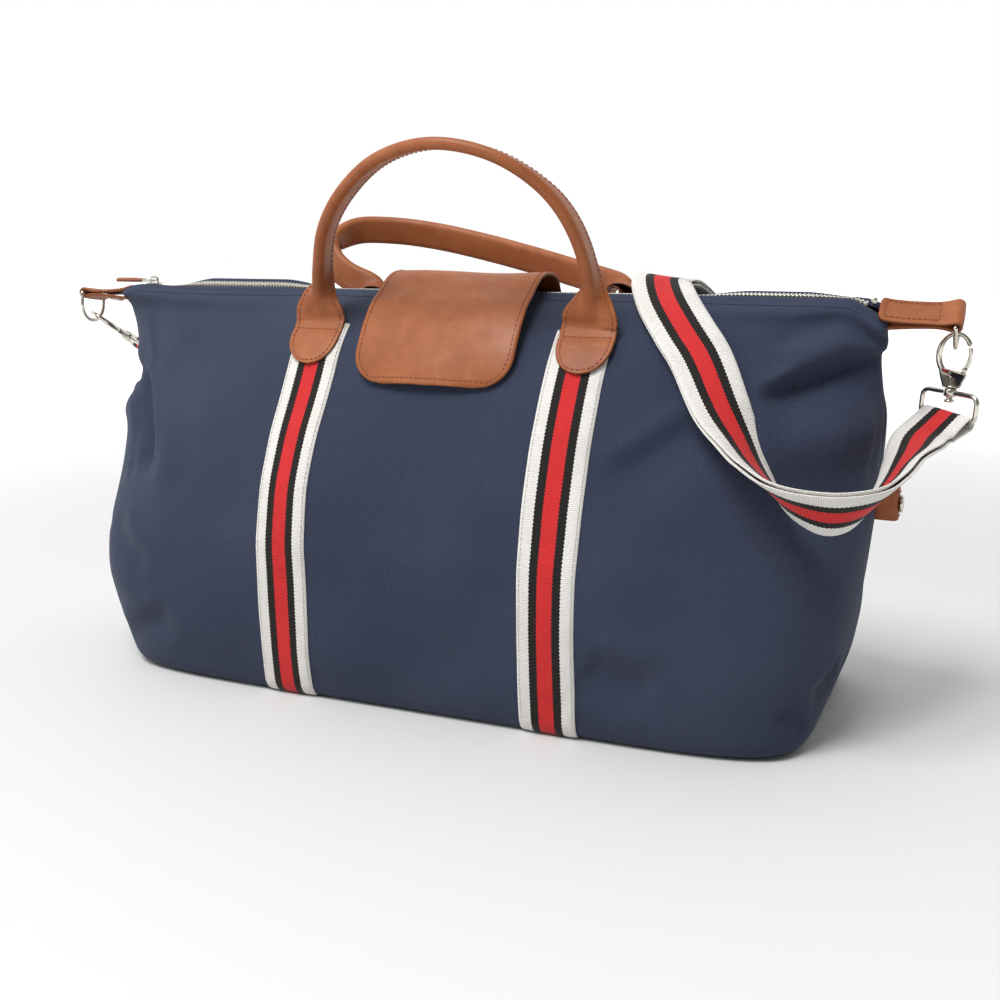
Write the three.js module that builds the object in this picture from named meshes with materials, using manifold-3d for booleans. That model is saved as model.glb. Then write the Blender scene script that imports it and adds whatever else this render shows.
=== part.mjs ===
// Soft canvas weekender bag with leather handles, a leather flap, a metal zip,
// clip-on webbing strap and snap tabs. Millimetres, +Z up, X along the bag,
// -Y towards the front. The origin is the middle of the base, on the floor.

import * as THREE from 'three';
import { mergeVertices } from 'three/addons/utils/BufferGeometryUtils.js';
import Module from 'manifold-3d';

const wasm = await Module();
wasm.setup();

// ---------------------------------------------------------------- driving sizes

const GAP = 0.35;                 // clearance kept between touching pieces
const CANVAS = 2.0;               // canvas wall
const LINING = 1.2;
const LEATHER = 2.2;
const ZIP_TOP = 286;              // height of the canvas lips along the zip
const WEBBING_WIDTH = 40;
const WEBBING_THICKNESS = 1.8;
const STRIPE_X = 100.6;           // middle of each webbing stripe
const TAB_WIDTH = 22;
const WIRE = 1.5;                 // D-ring wire radius

// Heights, and at each height the reach to the left tip, the reach to the right
// tip, half the depth, and how square the plan is (exponent of a superellipse).
const BODY_ROWS = [
  [0, 262, 262, 111, 7.0],
  [10, 268, 266, 114, 6.4],
  [35, 284, 274, 117, 5.2],
  [70, 298, 282, 119, 4.2],
  [114, 305, 287, 119, 3.3],
  [155, 305, 290.5, 111, 2.7],
  [190, 304, 291, 98, 2.4],
  [222, 303, 291, 80, 2.2],
  [246, 305, 291, 65, 2.0],
  [264, 310, 291, 48, 1.9],
  [277, 314, 291, 29, 2.2],
  [286, 315, 291, 11, 12],
];
const TIP_DROP = 11;              // the lips dive this much at the two tips
const TIP_RUN = 16;               // over this length

const ZIP = { left: -301, right: 279, halfSlot: 0.6, halfChain: 3.4, bottom: 284.6, top: 287.8 };
const SLIDER_X = -290;
const PULL_PIVOT = { x: SLIDER_X, z: 291.4 };

const TABS = {
  left: { side: -1, start: 315.6, loop: 354, z: 279.5, tilt: -8, contact: 50 },
  right: { side: 1, start: 291.6, loop: 332.5, z: 277.5, tilt: 33, contact: 90 },
};
const D_RING = { halfWidth: 13, depth: 22 };
const HOOK = { eyeHalfWidth: 9.7, eyeHalfHeight: 13.5, eyeCentre: 24.5, wire: 1.7, reach: 31.6 };
const RING = { halfWidth: 22.3, height: 17, corner: 5, wire: 1.7 };

const SIDE_TAB_Z = 154;
const FLAP = { left: -62, right: 58, hingeY: 20, hingeZ: 286.6 };
const HANDLE_CREASE = { x: 103, y: 48, z: 269 };

const COLOURS = {
  canvas: [0x27304a, 0.9, 0],
  lining: [0x1c2233, 0.9, 0],
  board: [0x2a2a2a, 0.8, 0],
  leather: [0x9a5226, 0.5, 0],
  webbing: [0xd8d4cc, 0.9, 0],
  tape: [0x1d263d, 0.9, 0],
  metal: [0xc9c9c6, 0.25, 1],
};

// ---------------------------------------------------------------- small helpers

const bag = new THREE.Group();
const vec = (x, y, z) => new THREE.Vector3(x, y, z);
const radians = THREE.MathUtils.degToRad;

function addPiece(name, geometry, colour, parent = bag) {
  const [color, roughness, metalness] = COLOURS[colour];
  const mesh = new THREE.Mesh(geometry, new THREE.MeshStandardMaterial({ color, roughness, metalness }));
  mesh.name = name;
  parent.add(mesh);
  return mesh;
}

function signedVolume(points, faces) {
  let volume = 0;
  for (const [a, b, c] of faces) {
    volume += points[a].dot(points[b].clone().cross(points[c])) / 6;
  }
  return volume;
}

// Closed body from points and triangles, turned so that its faces point out.
function closedBody(points, faces) {
  const outward = signedVolume(points, faces) > 0;
  const indices = faces.flatMap(([a, b, c]) => (outward ? [a, b, c] : [a, c, b]));
  const geometry = new THREE.BufferGeometry();
  geometry.setAttribute('position', new THREE.Float32BufferAttribute(points.flatMap((p) => p.toArray()), 3));
  geometry.setIndex(indices);
  return geometry;
}

// Skin through a row of rings with equal point counts; open ends are capped.
function loft(rings, closedLoop = false) {
  const count = rings[0].length;
  const points = rings.flat();
  const faces = [];
  const spans = closedLoop ? rings.length : rings.length - 1;
  for (let i = 0; i < spans; i += 1) {
    const here = i * count;
    const next = ((i + 1) % rings.length) * count;
    for (let j = 0; j < count; j += 1) {
      const k = (j + 1) % count;
      faces.push([here + j, next + j, next + k], [here + j, next + k, here + k]);
    }
  }
  if (!closedLoop) {
    const last = (rings.length - 1) * count;
    for (let j = 1; j < count - 1; j += 1) {
      faces.push([0, j, j + 1], [last, last + j + 1, last + j]);
    }
  }
  return closedBody(points, faces);
}

// Wall between two grids of points: outer[row][column] and inner[row][column].
function wall(outer, inner, wrap = false) {
  const rings = [];
  const columns = outer[0].length;
  for (let c = 0; c < columns; c += 1) {
    const out = outer.map((row) => row[c]);
    const back = inner.map((row) => row[c]).reverse();
    rings.push([...out, ...back]);
  }
  if (wrap) {
    return loft(rings, true);
  }
  const geometryPoints = rings.flat();
  const count = rings[0].length;
  const rows = outer.length;
  const faces = [];
  for (let i = 0; i < rings.length - 1; i += 1) {
    for (let j = 0; j < count; j += 1) {
      const k = (j + 1) % count;
      const a = i * count;
      const b = (i + 1) * count;
      faces.push([a + j, b + j, b + k], [a + j, b + k, a + k]);
    }
  }
  const end = (rings.length - 1) * count;
  for (let r = 0; r < rows - 1; r += 1) {
    const p = count - 1 - r;
    faces.push([r, r + 1, p - 1], [r, p - 1, p]);
    faces.push([end + r, end + p - 1, end + r + 1], [end + r, end + p, end + p - 1]);
  }
  return closedBody(geometryPoints, faces);
}

function solid(geometry) {
  const bare = geometry.clone();
  bare.deleteAttribute('normal');
  bare.deleteAttribute('uv');
  const merged = mergeVertices(bare, 1e-4);
  const vertProperties = new Float32Array(merged.attributes.position.array);
  const triVerts = new Uint32Array(merged.index.array);
  return new wasm.Manifold(new wasm.Mesh({ numProp: 3, vertProperties, triVerts }));
}

function fromSolid(body) {
  const mesh = body.getMesh();
  const geometry = new THREE.BufferGeometry();
  geometry.setAttribute('position', new THREE.Float32BufferAttribute(Array.from(mesh.vertProperties), 3));
  geometry.setIndex(Array.from(mesh.triVerts));
  return geometry;
}

function block(x0, x1, y0, y1, z0, z1) {
  const geometry = new THREE.BoxGeometry(x1 - x0, y1 - y0, z1 - z0);
  geometry.translate((x0 + x1) / 2, (y0 + y1) / 2, (z0 + z1) / 2);
  return geometry;
}

// Value of a table column at a height, straight between the rows.
function bodyValue(z, column) {
  const rows = BODY_ROWS;
  for (let i = 1; i < rows.length; i += 1) {
    if (z <= rows[i][0] || i === rows.length - 1) {
      const t = THREE.MathUtils.clamp((z - rows[i - 1][0]) / (rows[i][0] - rows[i - 1][0]), 0, 1);
      return THREE.MathUtils.lerp(rows[i - 1][column], rows[i][column], t);
    }
  }
  return rows[0][column];
}

// Depth of the body's outer skin at a place on the front or back.
function skinDepth(x, z, inset = 0) {
  const reach = bodyValue(z, x < 0 ? 1 : 2) - inset;
  const depth = bodyValue(z, 3) - inset;
  const power = bodyValue(z, 4);
  const share = Math.min(Math.abs(x) / reach, 1);
  return depth * (1 - share ** power) ** (1 / power);
}

// Direction square to the skin, in the Y-Z plane, for the front (side -1) or back (side 1).
function skinNormal(x, z, side) {
  const step = 3;
  const rise = skinDepth(x, z - step) - skinDepth(x, Math.min(z + step, ZIP_TOP));
  const run = Math.min(z + step, ZIP_TOP) - (z - step);
  return vec(0, side * run, rise).normalize();
}

function onSkin(x, z, side, lift) {
  const point = vec(x, side * skinDepth(x, z), z);
  return point.addScaledVector(skinNormal(x, z, side), lift);
}

// ---------------------------------------------------------------- body panels

const LIP_COLUMNS = 30;

function tipDip(x, z) {
  const reach = x < 0 ? BODY_ROWS.at(-1)[1] : BODY_ROWS.at(-1)[2];
  const near = THREE.MathUtils.clamp((Math.abs(x) - (reach - TIP_RUN)) / TIP_RUN, 0, 1);
  return z - TIP_DROP * near * near * (z / ZIP_TOP) ** 4;
}

function bodyPoint(z, turn, inset, side) {
  const power = bodyValue(z, 4);
  const cosine = Math.cos(turn);
  const reach = bodyValue(z, cosine < 0 ? 1 : 2) - inset;
  const depth = bodyValue(z, 3) - inset;
  const x = Math.sign(cosine) * reach * Math.abs(cosine) ** (2 / power);
  const y = side * (depth * Math.abs(Math.sin(turn)) ** (2 / power) + GAP / 2);
  return vec(x, y, tipDip(x, z));
}

function panelGrid(inset, side, columns, rows) {
  return rows.map((z) => {
    const points = [];
    for (let c = 0; c <= columns; c += 1) {
      points.push(bodyPoint(z, Math.PI * (1 - c / columns), inset, side));
    }
    return points;
  });
}

const PANEL_ROWS = BODY_ROWS.map((row) => row[0]);
for (const [name, side] of [['front_panel', -1], ['back_panel', 1]]) {
  const outer = panelGrid(0, side, LIP_COLUMNS, PANEL_ROWS);
  const inner = panelGrid(CANVAS, side, LIP_COLUMNS, PANEL_ROWS);
  addPiece(name, wall(outer, inner), 'canvas');
}

function plateOutline(inset, z) {
  const points = [];
  const steps = 40;
  for (let i = 0; i < steps; i += 1) {
    const turn = (2 * Math.PI * i) / steps;
    const side = Math.sin(turn) < 0 ? -1 : 1;
    const point = bodyPoint(0, turn, inset, side);
    point.y -= side * GAP / 2;
    point.z = z;
    points.push(point);
  }
  return points;
}

const BASE_INSET = CANVAS + GAP;
addPiece('base_panel', loft([plateOutline(BASE_INSET, 0), plateOutline(BASE_INSET, 2.4)]), 'canvas');
const BOARD_INSET = BASE_INSET + 6;
addPiece('base_board', loft([plateOutline(BOARD_INSET, 2.8), plateOutline(BOARD_INSET, 5.0)]), 'board');

function liningGrid(inset) {
  const heights = [6, 40, 90, 150, 200, 240, 262, 274];
  return heights.map((z) => {
    const points = [];
    const columns = 28;
    for (let c = 0; c < columns; c += 1) {
      const turn = (2 * Math.PI * (c + 0.5)) / columns;
      points.push(bodyPoint(z, turn, inset, Math.sin(turn) < 0 ? -1 : 1));
    }
    return points;
  });
}
const LINING_INSET = CANVAS + 2.4;
addPiece('lining', wall(liningGrid(LINING_INSET), liningGrid(LINING_INSET + LINING), true), 'lining');

// ---------------------------------------------------------------- webbing stripes

function stripe(centre, side, lowest, highest) {
  const lifts = [0.9, 0.9 + 1.3];
  const columns = [-20, -7, 7, 20].map((offset) => centre + offset);
  const rows = [lowest, ...PANEL_ROWS.filter((z) => z > lowest + 4 && z < highest - 4), highest];
  const grid = (lift) => rows.map((z) => columns.map((x) => onSkin(x, z, side, lift)));
  return wall(grid(lifts[1]), grid(lifts[0]));
}
for (const [place, side] of [['front', -1], ['back', 1]]) {
  for (const [hand, sign] of [['left', -1], ['right', 1]]) {
    addPiece(`${place}_stripe_${hand}`, stripe(sign * STRIPE_X, side, 1.2, 262), 'webbing');
  }
}

// ---------------------------------------------------------------- zip

for (const [place, side] of [['front', -1], ['back', 1]]) {
  const near = side * ZIP.halfSlot;
  const far = side * ZIP.halfChain;
  const chain = block(ZIP.left, ZIP.right, Math.min(near, far), Math.max(near, far), ZIP.bottom, ZIP.top);
  addPiece(`zip_chain_${place}`, chain, 'metal');
  const tapeNear = side * (ZIP.halfChain + GAP);
  const tapeFar = side * 7.4;
  const tape = block(ZIP.left - 3, ZIP.right + 3, Math.min(tapeNear, tapeFar),
    Math.max(tapeNear, tapeFar), 285.2, 286.2);
  addPiece(`zip_tape_${place}`, tape, 'tape');
}
for (const [hand, x] of [['left', ZIP.left - 2.4], ['right', ZIP.right + 2.4]]) {
  addPiece(`zip_stop_${hand}`, block(x - 1.8, x + 1.8, -3.1, 3.1, 284.8, 287.6), 'metal');
}

// Slider: upper and lower plates joined by a thin web that runs between the teeth.
function sliderSection() {
  const shape = new THREE.Shape();
  const outline = [
    [-4.6, 288.2], [-4.6, 289.9], [4.6, 289.9], [4.6, 288.2], [0.3, 288.2], [0.3, 284.1],
    [4.6, 284.1], [4.6, 282.6], [-4.6, 282.6], [-4.6, 284.1], [-0.3, 284.1], [-0.3, 288.2],
  ];
  outline.forEach(([y, z], i) => (i === 0 ? shape.moveTo(y, z) : shape.lineTo(y, z)));
  return shape;
}
const slider = new THREE.ExtrudeGeometry(sliderSection(), { depth: 13, bevelEnabled: false });
// The section's own axes run along Y and Z, and its depth along X.
slider.applyMatrix4(new THREE.Matrix4().set(0, 0, 1, SLIDER_X - 6.5, 1, 0, 0, 0, 0, 1, 0, 0, 0, 0, 0, 1));
addPiece('zip_slider', slider, 'metal');

function bailShape() {
  const shape = new THREE.Shape();
  shape.moveTo(-5.4, 290.2);
  shape.lineTo(-5.4, 293.4);
  shape.quadraticCurveTo(-5.2, 294.6, -3.6, 294.6);
  shape.lineTo(3.6, 294.6);
  shape.quadraticCurveTo(5.2, 294.6, 5.4, 293.4);
  shape.lineTo(5.4, 290.2);
  shape.lineTo(4.0, 290.2);
  shape.lineTo(4.0, 293.3);
  shape.lineTo(-4.0, 293.3);
  shape.lineTo(-4.0, 290.2);
  return shape;
}
const bail = new THREE.ExtrudeGeometry(bailShape(), { depth: 2.2, bevelEnabled: false, curveSegments: 3 });
bail.applyMatrix4(new THREE.Matrix4().set(1, 0, 0, SLIDER_X, 0, 0, -1, 1.1, 0, 1, 0, 0, 0, 0, 0, 1));
addPiece('zip_slider_bail', bail, 'metal');

// Pull: a metal eye under the bail's bar, and a leather tab hung on it.
function pullEyeShape() {
  const shape = new THREE.Shape();
  shape.moveTo(0.8, -3.6);
  shape.lineTo(0.8, 3.6);
  shape.lineTo(-12.5, 2.6);
  shape.lineTo(-12.5, -2.6);
  const slot = new THREE.Path();
  slot.moveTo(-0.7, -2.2);
  slot.lineTo(-9.2, -1.8);
  slot.lineTo(-9.2, 1.8);
  slot.lineTo(-0.7, 2.2);
  shape.holes.push(slot);
  return shape;
}
const pullEye = new THREE.ExtrudeGeometry(pullEyeShape(), { depth: 1.5, bevelEnabled: false });
pullEye.translate(PULL_PIVOT.x, 0, PULL_PIVOT.z - 0.75);
addPiece('zip_pull_eye', pullEye, 'metal');
function pullTabShape() {
  const shape = new THREE.Shape();
  shape.moveTo(0, -4);
  shape.lineTo(0, 4);
  shape.lineTo(-18, 5);
  shape.quadraticCurveTo(-23, 4, -23, 0);
  shape.quadraticCurveTo(-23, -4, -18, -5);
  return shape;
}
const pullTab = new THREE.ExtrudeGeometry(pullTabShape(), { depth: 2.6, bevelEnabled: false, curveSegments: 4 });
pullTab.translate(PULL_PIVOT.x - 12.5 - GAP, 0, PULL_PIVOT.z - 1.3);
addPiece('zip_pull_tab', pullTab, 'leather');

// ---------------------------------------------------------------- end tabs, D-rings

function tabShape(length) {
  const half = 2.7;
  const end = 4.4;
  const shape = new THREE.Shape();
  shape.moveTo(0, -half);
  shape.lineTo(length - 7, -half);
  shape.quadraticCurveTo(length - 5, -end, length, -end);
  shape.absarc(length, 0, end, -Math.PI / 2, Math.PI / 2, false);
  shape.quadraticCurveTo(length - 5, end, length - 7, half);
  shape.lineTo(0, half);
  const tunnel = new THREE.Path();
  tunnel.absarc(length, 0, 2.25, 0, 2 * Math.PI, true);
  shape.holes.push(tunnel);
  return shape;
}

// Closed round wire through points that lie in one plane with the given normal.
function wireLoop(points, radius, normal, sides = 8) {
  const rings = points.map((point, i) => {
    const before = points[(i + points.length - 1) % points.length];
    const after = points[(i + 1) % points.length];
    const along = after.clone().sub(before).normalize();
    const across = along.clone().cross(normal).normalize();
    return Array.from({ length: sides }, (_, s) => {
      const turn = (2 * Math.PI * (s + 0.5)) / sides;
      return point.clone().addScaledVector(across, radius * Math.cos(turn))
        .addScaledVector(normal, radius * Math.sin(turn));
    });
  });
  return loft(rings, true);
}

// D outline in its own plane: u along the bar, v away from it.
function dOutline(halfWidth, depth) {
  const points = [];
  for (let i = 0; i <= 4; i += 1) {
    points.push([-halfWidth + (2 * halfWidth * i) / 4, 0]);
  }
  points.push([halfWidth, depth * 0.38]);
  for (let i = 0; i <= 8; i += 1) {
    const turn = (Math.PI * i) / 8;
    points.push([halfWidth * Math.cos(turn) * 0.98, depth * 0.42 + depth * 0.58 * Math.sin(turn)]);
  }
  points.push([-halfWidth, depth * 0.38]);
  return points;
}

for (const [hand, tab] of Object.entries(TABS)) {
  const group = new THREE.Group();
  group.position.set(tab.side * tab.start, 0, tab.z);
  group.rotation.x = radians(tab.tilt);
  bag.add(group);
  const length = tab.loop - tab.start;
  const leather = new THREE.ExtrudeGeometry(tabShape(length),
    { depth: TAB_WIDTH, bevelEnabled: false, curveSegments: 8 });
  leather.rotateX(Math.PI / 2);
  leather.translate(0, TAB_WIDTH / 2, 0);
  if (tab.side < 0) {
    leather.rotateZ(Math.PI);
  }
  addPiece(`end_tab_${hand}`, leather, 'leather', group);

  const socket = new THREE.CylinderGeometry(6, 6, 2.2, 16);
  socket.rotateX(Math.PI / 2);
  socket.translate(tab.side * 13, 0, -2.7 - GAP - 1.1);
  addPiece(`end_tab_snap_${hand}`, socket, 'metal', group);

  const outline = dOutline(D_RING.halfWidth, D_RING.depth);
  const points = outline.map(([u, v]) => vec(tab.side * length, u, -v));
  addPiece(`d_ring_${hand}`, wireLoop(points, WIRE, vec(1, 0, 0)), 'metal', group);
}

// ---------------------------------------------------------------- hooks and strap rings

// In the hook's own frame: Z from the ring's upper bar to the eye, X across the eye.
function eyePoint(turn) {
  return vec(HOOK.eyeHalfWidth * Math.cos(turn), 0, HOOK.eyeCentre + HOOK.eyeHalfHeight * Math.sin(turn));
}

function eyeWire(from, to, steps, radius) {
  const rings = [];
  for (let i = 0; i <= steps; i += 1) {
    const turn = radians(from + ((to - from) * i) / steps);
    const point = eyePoint(turn);
    const along = eyePoint(turn + 0.01).sub(eyePoint(turn - 0.01)).normalize();
    const across = along.clone().cross(vec(0, 1, 0)).normalize();
    rings.push(Array.from({ length: 8 }, (_, s) => {
      const spin = (2 * Math.PI * (s + 0.5)) / 8;
      return point.clone().addScaledVector(across, radius * Math.cos(spin))
        .add(vec(0, radius * Math.sin(spin), 0));
    }));
  }
  return loft(rings);
}

function hookBody() {
  const base = new THREE.Shape();
  base.moveTo(-5.2, 3.2);
  base.lineTo(5.2, 3.2);
  base.lineTo(8.6, 12.6);
  base.lineTo(0, 14.4);
  base.lineTo(-8.6, 15.5);
  const plate = new THREE.ExtrudeGeometry(base, { depth: 4.6, bevelEnabled: false });
  plate.rotateX(Math.PI / 2);
  plate.translate(0, 2.3, 0);
  const post = new THREE.CylinderGeometry(2.1, 2.1, 8.4, 14);
  post.rotateX(Math.PI / 2);
  post.translate(0, 0, 0.2);
  const head = new THREE.CylinderGeometry(3.3, 3.3, 1.8, 14);
  head.rotateX(Math.PI / 2);
  head.translate(0, 0, -4.5);
  const eye = solid(eyeWire(30, 300, 22, HOOK.wire));
  return fromSolid(solid(plate).add(eye).add(solid(post)).add(solid(head)));
}

function ringOutline() {
  const points = [];
  const { halfWidth, height, corner } = RING;
  const corners = [
    [halfWidth - corner, -corner, 0], [-(halfWidth - corner), -corner, 90],
    [-(halfWidth - corner), -(height - corner), 180], [halfWidth - corner, -(height - corner), 270],
  ];
  for (const [x, z, start] of corners) {
    for (let i = 0; i <= 3; i += 1) {
      const turn = radians(start + 30 * i);
      points.push(vec(x + corner * Math.cos(turn), 0, z + corner * Math.sin(turn)));
    }
  }
  return points;
}

function strapRing() {
  const frame = solid(wireLoop(ringOutline(), RING.wire, vec(0, 1, 0)));
  const boss = new THREE.CylinderGeometry(4.2, 4.2, 5.4, 16);
  boss.rotateX(Math.PI / 2);
  const hole = new THREE.CylinderGeometry(2.6, 2.6, 9, 16);
  hole.rotateX(Math.PI / 2);
  return fromSolid(frame.add(solid(boss)).subtract(solid(hole)));
}

// Directions of one hook and its ring, from where they hang.
function placeFrame(group, origin, up, across) {
  const z = up.clone().normalize();
  const x = across.clone().addScaledVector(z, -across.dot(z)).normalize();
  const y = z.clone().cross(x);
  group.matrixAutoUpdate = false;
  group.matrix.makeBasis(x, y, z).setPosition(origin);
  bag.add(group);
}

// Middle of the D-ring wire where the hook's eye pulls on it.
function contactPoint(tab) {
  const turn = radians(tab.contact);
  const u = D_RING.halfWidth * Math.cos(turn);
  const v = D_RING.depth * (0.42 + 0.58 * Math.sin(turn));
  const point = vec(tab.side * (tab.loop - tab.start), u, -v);
  point.applyAxisAngle(vec(1, 0, 0), radians(tab.tilt));
  return point.add(vec(tab.side * tab.start, 0, tab.z));
}

const HARDWARE = {
  left: {
    up: vec(-11, -29, 21.4), eyeAcross: vec(-0.77, 0.365, 0.209), barAcross: vec(-0.877, 0.417, 0.239),
  },
  right: {
    up: vec(1.9, 0.3, 34.2), eyeAcross: vec(1, 0.08, 0), barAcross: vec(0.78, -0.61, -0.12),
  },
};
for (const [hand, place] of Object.entries(HARDWARE)) {
  place.up.normalize();
  place.pivot = contactPoint(TABS[hand]).addScaledVector(place.up, -HOOK.reach);
  place.bar = place.pivot.clone().addScaledVector(place.up, -RING.height);
}

for (const [hand, place] of Object.entries(HARDWARE)) {
  const hookGroup = new THREE.Group();
  placeFrame(hookGroup, place.pivot, place.up, place.eyeAcross);
  addPiece(`swivel_hook_${hand}`, hookBody(), 'metal', hookGroup);
  addPiece(`hook_gate_${hand}`, eyeWire(-42, 24, 8, 1.5), 'metal', hookGroup);
  const ringGroup = new THREE.Group();
  placeFrame(ringGroup, place.pivot, place.up, place.barAcross);
  addPiece(`strap_ring_${hand}`, strapRing(), 'metal', ringGroup);
}

// ---------------------------------------------------------------- side snap tabs

for (const [hand, sign, column] of [['left', -1, 1], ['right', 1, 2]]) {
  const start = bodyValue(SIDE_TAB_Z, column) + GAP + 0.2;
  const shape = new THREE.Shape();
  shape.moveTo(0, -5.6);
  shape.lineTo(11, -6.4);
  shape.quadraticCurveTo(14.4, -6.2, 14.4, -3);
  shape.lineTo(14.4, 3);
  shape.quadraticCurveTo(14.4, 6.2, 11, 6.4);
  shape.lineTo(0, 5.6);
  const hollow = new THREE.Path();
  hollow.moveTo(2.4, -3.4);
  hollow.lineTo(2.4, 3.4);
  hollow.lineTo(12, 3.9);
  hollow.lineTo(12, -3.9);
  shape.holes.push(hollow);
  const loop = new THREE.ExtrudeGeometry(shape, { depth: 21, bevelEnabled: false, curveSegments: 4 });
  loop.translate(start, 0, SIDE_TAB_Z - 10.5);
  const stud = new THREE.CylinderGeometry(6, 6, 2.4, 16);
  stud.rotateZ(Math.PI / 2);
  stud.translate(start + 14.4 + GAP + 1.2, 0, SIDE_TAB_Z);
  if (sign < 0) {
    loop.rotateZ(Math.PI);
    stud.rotateZ(Math.PI);
  }
  addPiece(`side_tab_${hand}`, loop, 'leather');
  addPiece(`side_snap_${hand}`, stud, 'metal');
}

// ---------------------------------------------------------------- strips along a route

// A flat strip: at each station a centre, the way its outer face looks, its half width,
// its half thickness, and how far it is lifted off the route on its outer side.
function strip(stations) {
  const rings = stations.map((here, i) => {
    const before = stations[Math.max(i - 1, 0)].centre;
    const after = stations[Math.min(i + 1, stations.length - 1)].centre;
    const along = after.clone().sub(before).normalize();
    const across = along.clone().cross(here.face).normalize();
    const face = across.clone().cross(along).normalize();
    const centre = here.centre.clone().addScaledVector(face, here.lift ?? 0);
    const { halfWidth: w, halfThickness: t } = here;
    const corners = [[w, -t * 0.5], [w, t * 0.5], [w - t, t], [-w + t, t], [-w, t * 0.5], [-w, -t * 0.5],
      [-w + t, -t], [w - t, -t]];
    return corners.map(([a, b]) => centre.clone().addScaledVector(across, a).addScaledVector(face, b));
  });
  return loft(rings);
}

// Even stations along a smooth curve through the route, carrying its other values.
function resample(route, steps) {
  const curve = new THREE.CatmullRomCurve3(route.map((r) => r.centre), false, 'centripetal');
  const last = route.length - 1;
  return Array.from({ length: steps + 1 }, (_, i) => {
    const place = (i / steps) * last;
    const index = Math.min(Math.floor(place), last - 1);
    const share = place - index;
    const a = route[index];
    const b = route[index + 1];
    return {
      centre: curve.getPoint(i / steps),
      face: a.face.clone().lerp(b.face, share),
      halfWidth: THREE.MathUtils.lerp(a.halfWidth, b.halfWidth, share),
      halfThickness: THREE.MathUtils.lerp(a.halfThickness, b.halfThickness, share),
      lift: THREE.MathUtils.lerp(a.lift ?? 0, b.lift ?? 0, share),
    };
  });
}

// ---------------------------------------------------------------- handles

const HANDLE_HALF_WIDTH = 11;
const HANDLE_HALF_THICKNESS = 4.2;

// Route points of a handle, each with the way its outer face looks. The strip is
// widest and thinnest at its two ends, where it meets the stitched tongues.
function handleStations(route) {
  const last = route.length - 1;
  return route.map(([centre, face], i) => {
    const flare = Math.max(0, 1 - Math.min(i, last - i) / 2);
    return {
      centre: vec(...centre),
      face: vec(...face),
      halfWidth: HANDLE_HALF_WIDTH + 7 * flare,
      halfThickness: HANDLE_HALF_THICKNESS - 2 * flare,
    };
  });
}

// Upright front handle, leaning a little forward.
const FRONT_HANDLE = [
  [[-104, -48.5, 271], [0, -1, 0]], [[-103.5, -49.5, 282], [-0.6, -0.8, 0]],
  [[-98, -54, 301], [-1, -0.1, 0.1]], [[-87, -64, 331], [-0.95, 0, 0.3]],
  [[-64, -75, 357], [-0.7, 0, 0.7]], [[-30, -85, 378], [-0.35, 0, 0.94]], [[12, -90, 386], [0, 0, 1]],
  [[52, -85, 378], [0.4, 0, 0.92]], [[82, -75, 358], [0.75, 0, 0.66]], [[98, -64, 334], [0.95, 0, 0.3]],
  [[106, -54, 304], [1, -0.1, 0.1]], [[105.5, -49.5, 284], [0.6, -0.8, 0]], [[104, -48.5, 271], [0, -1, 0]],
];
// Fallen rear handle, slumped back and to the left.
const REAR_HANDLE = [
  [[-104, 48.5, 271], [0, 1, 0]], [[-106, 50, 280], [-0.2, 1, 0]], [[-118, 50.5, 288], [-0.6, 0.7, -0.4]],
  [[-136, 51, 295], [-0.7, 0.6, -0.4]], [[-151, 55, 306], [-0.9, 0.5, -0.1]],
  [[-156, 65, 321], [-0.8, 0.5, 0.4]], [[-146, 82, 330.5], [-0.45, 0.8, 0.3]],
  [[-120, 98, 331], [-0.15, 1, 0.2]], [[-84, 106, 326.5], [0, 1, 0.15]], [[-41, 107, 318], [0, 1, 0.15]],
  [[3, 102, 308], [0.1, 1, 0.15]], [[47, 87, 298], [0.3, 0.95, 0.1]], [[78, 69, 292], [0.4, 0.9, 0.1]],
  [[95, 58, 288], [0.3, 0.95, 0]], [[103, 50.5, 281], [0.1, 1, 0]], [[104, 48.5, 271], [0, 1, 0]],
];
addPiece('front_handle', strip(resample(handleStations(FRONT_HANDLE), 36)), 'leather');
addPiece('rear_handle', strip(resample(handleStations(REAR_HANDLE), 42)), 'leather');

// Stitched tongues that hold the handles, lying over the stripes.
function tongue(centre, side) {
  const lowest = 236;
  const highest = HANDLE_CREASE.z - 5;
  const steps = 8;
  const outer = [];
  const inner = [];
  for (let r = 0; r <= steps; r += 1) {
    const z = THREE.MathUtils.lerp(lowest, highest, r / steps);
    const drop = Math.max(0, 1 - (z - lowest) / 17);
    const half = 19.5 * Math.sqrt(Math.max(1 - drop ** 2, 0.04));
    const columns = [-1, -0.5, 0, 0.5, 1].map((share) => centre + share * half);
    outer.push(columns.map((x) => onSkin(x, z, side, 5.0)));
    inner.push(columns.map((x) => onSkin(x, z, side, 2.8)));
  }
  return wall(outer, inner);
}
for (const [place, side] of [['front', -1], ['rear', 1]]) {
  for (const [hand, sign] of [['left', -1], ['right', 1]]) {
    addPiece(`${place}_handle_tongue_${hand}`, tongue(sign * HANDLE_CREASE.x, side), 'leather');
  }
}

// ---------------------------------------------------------------- flap

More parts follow.
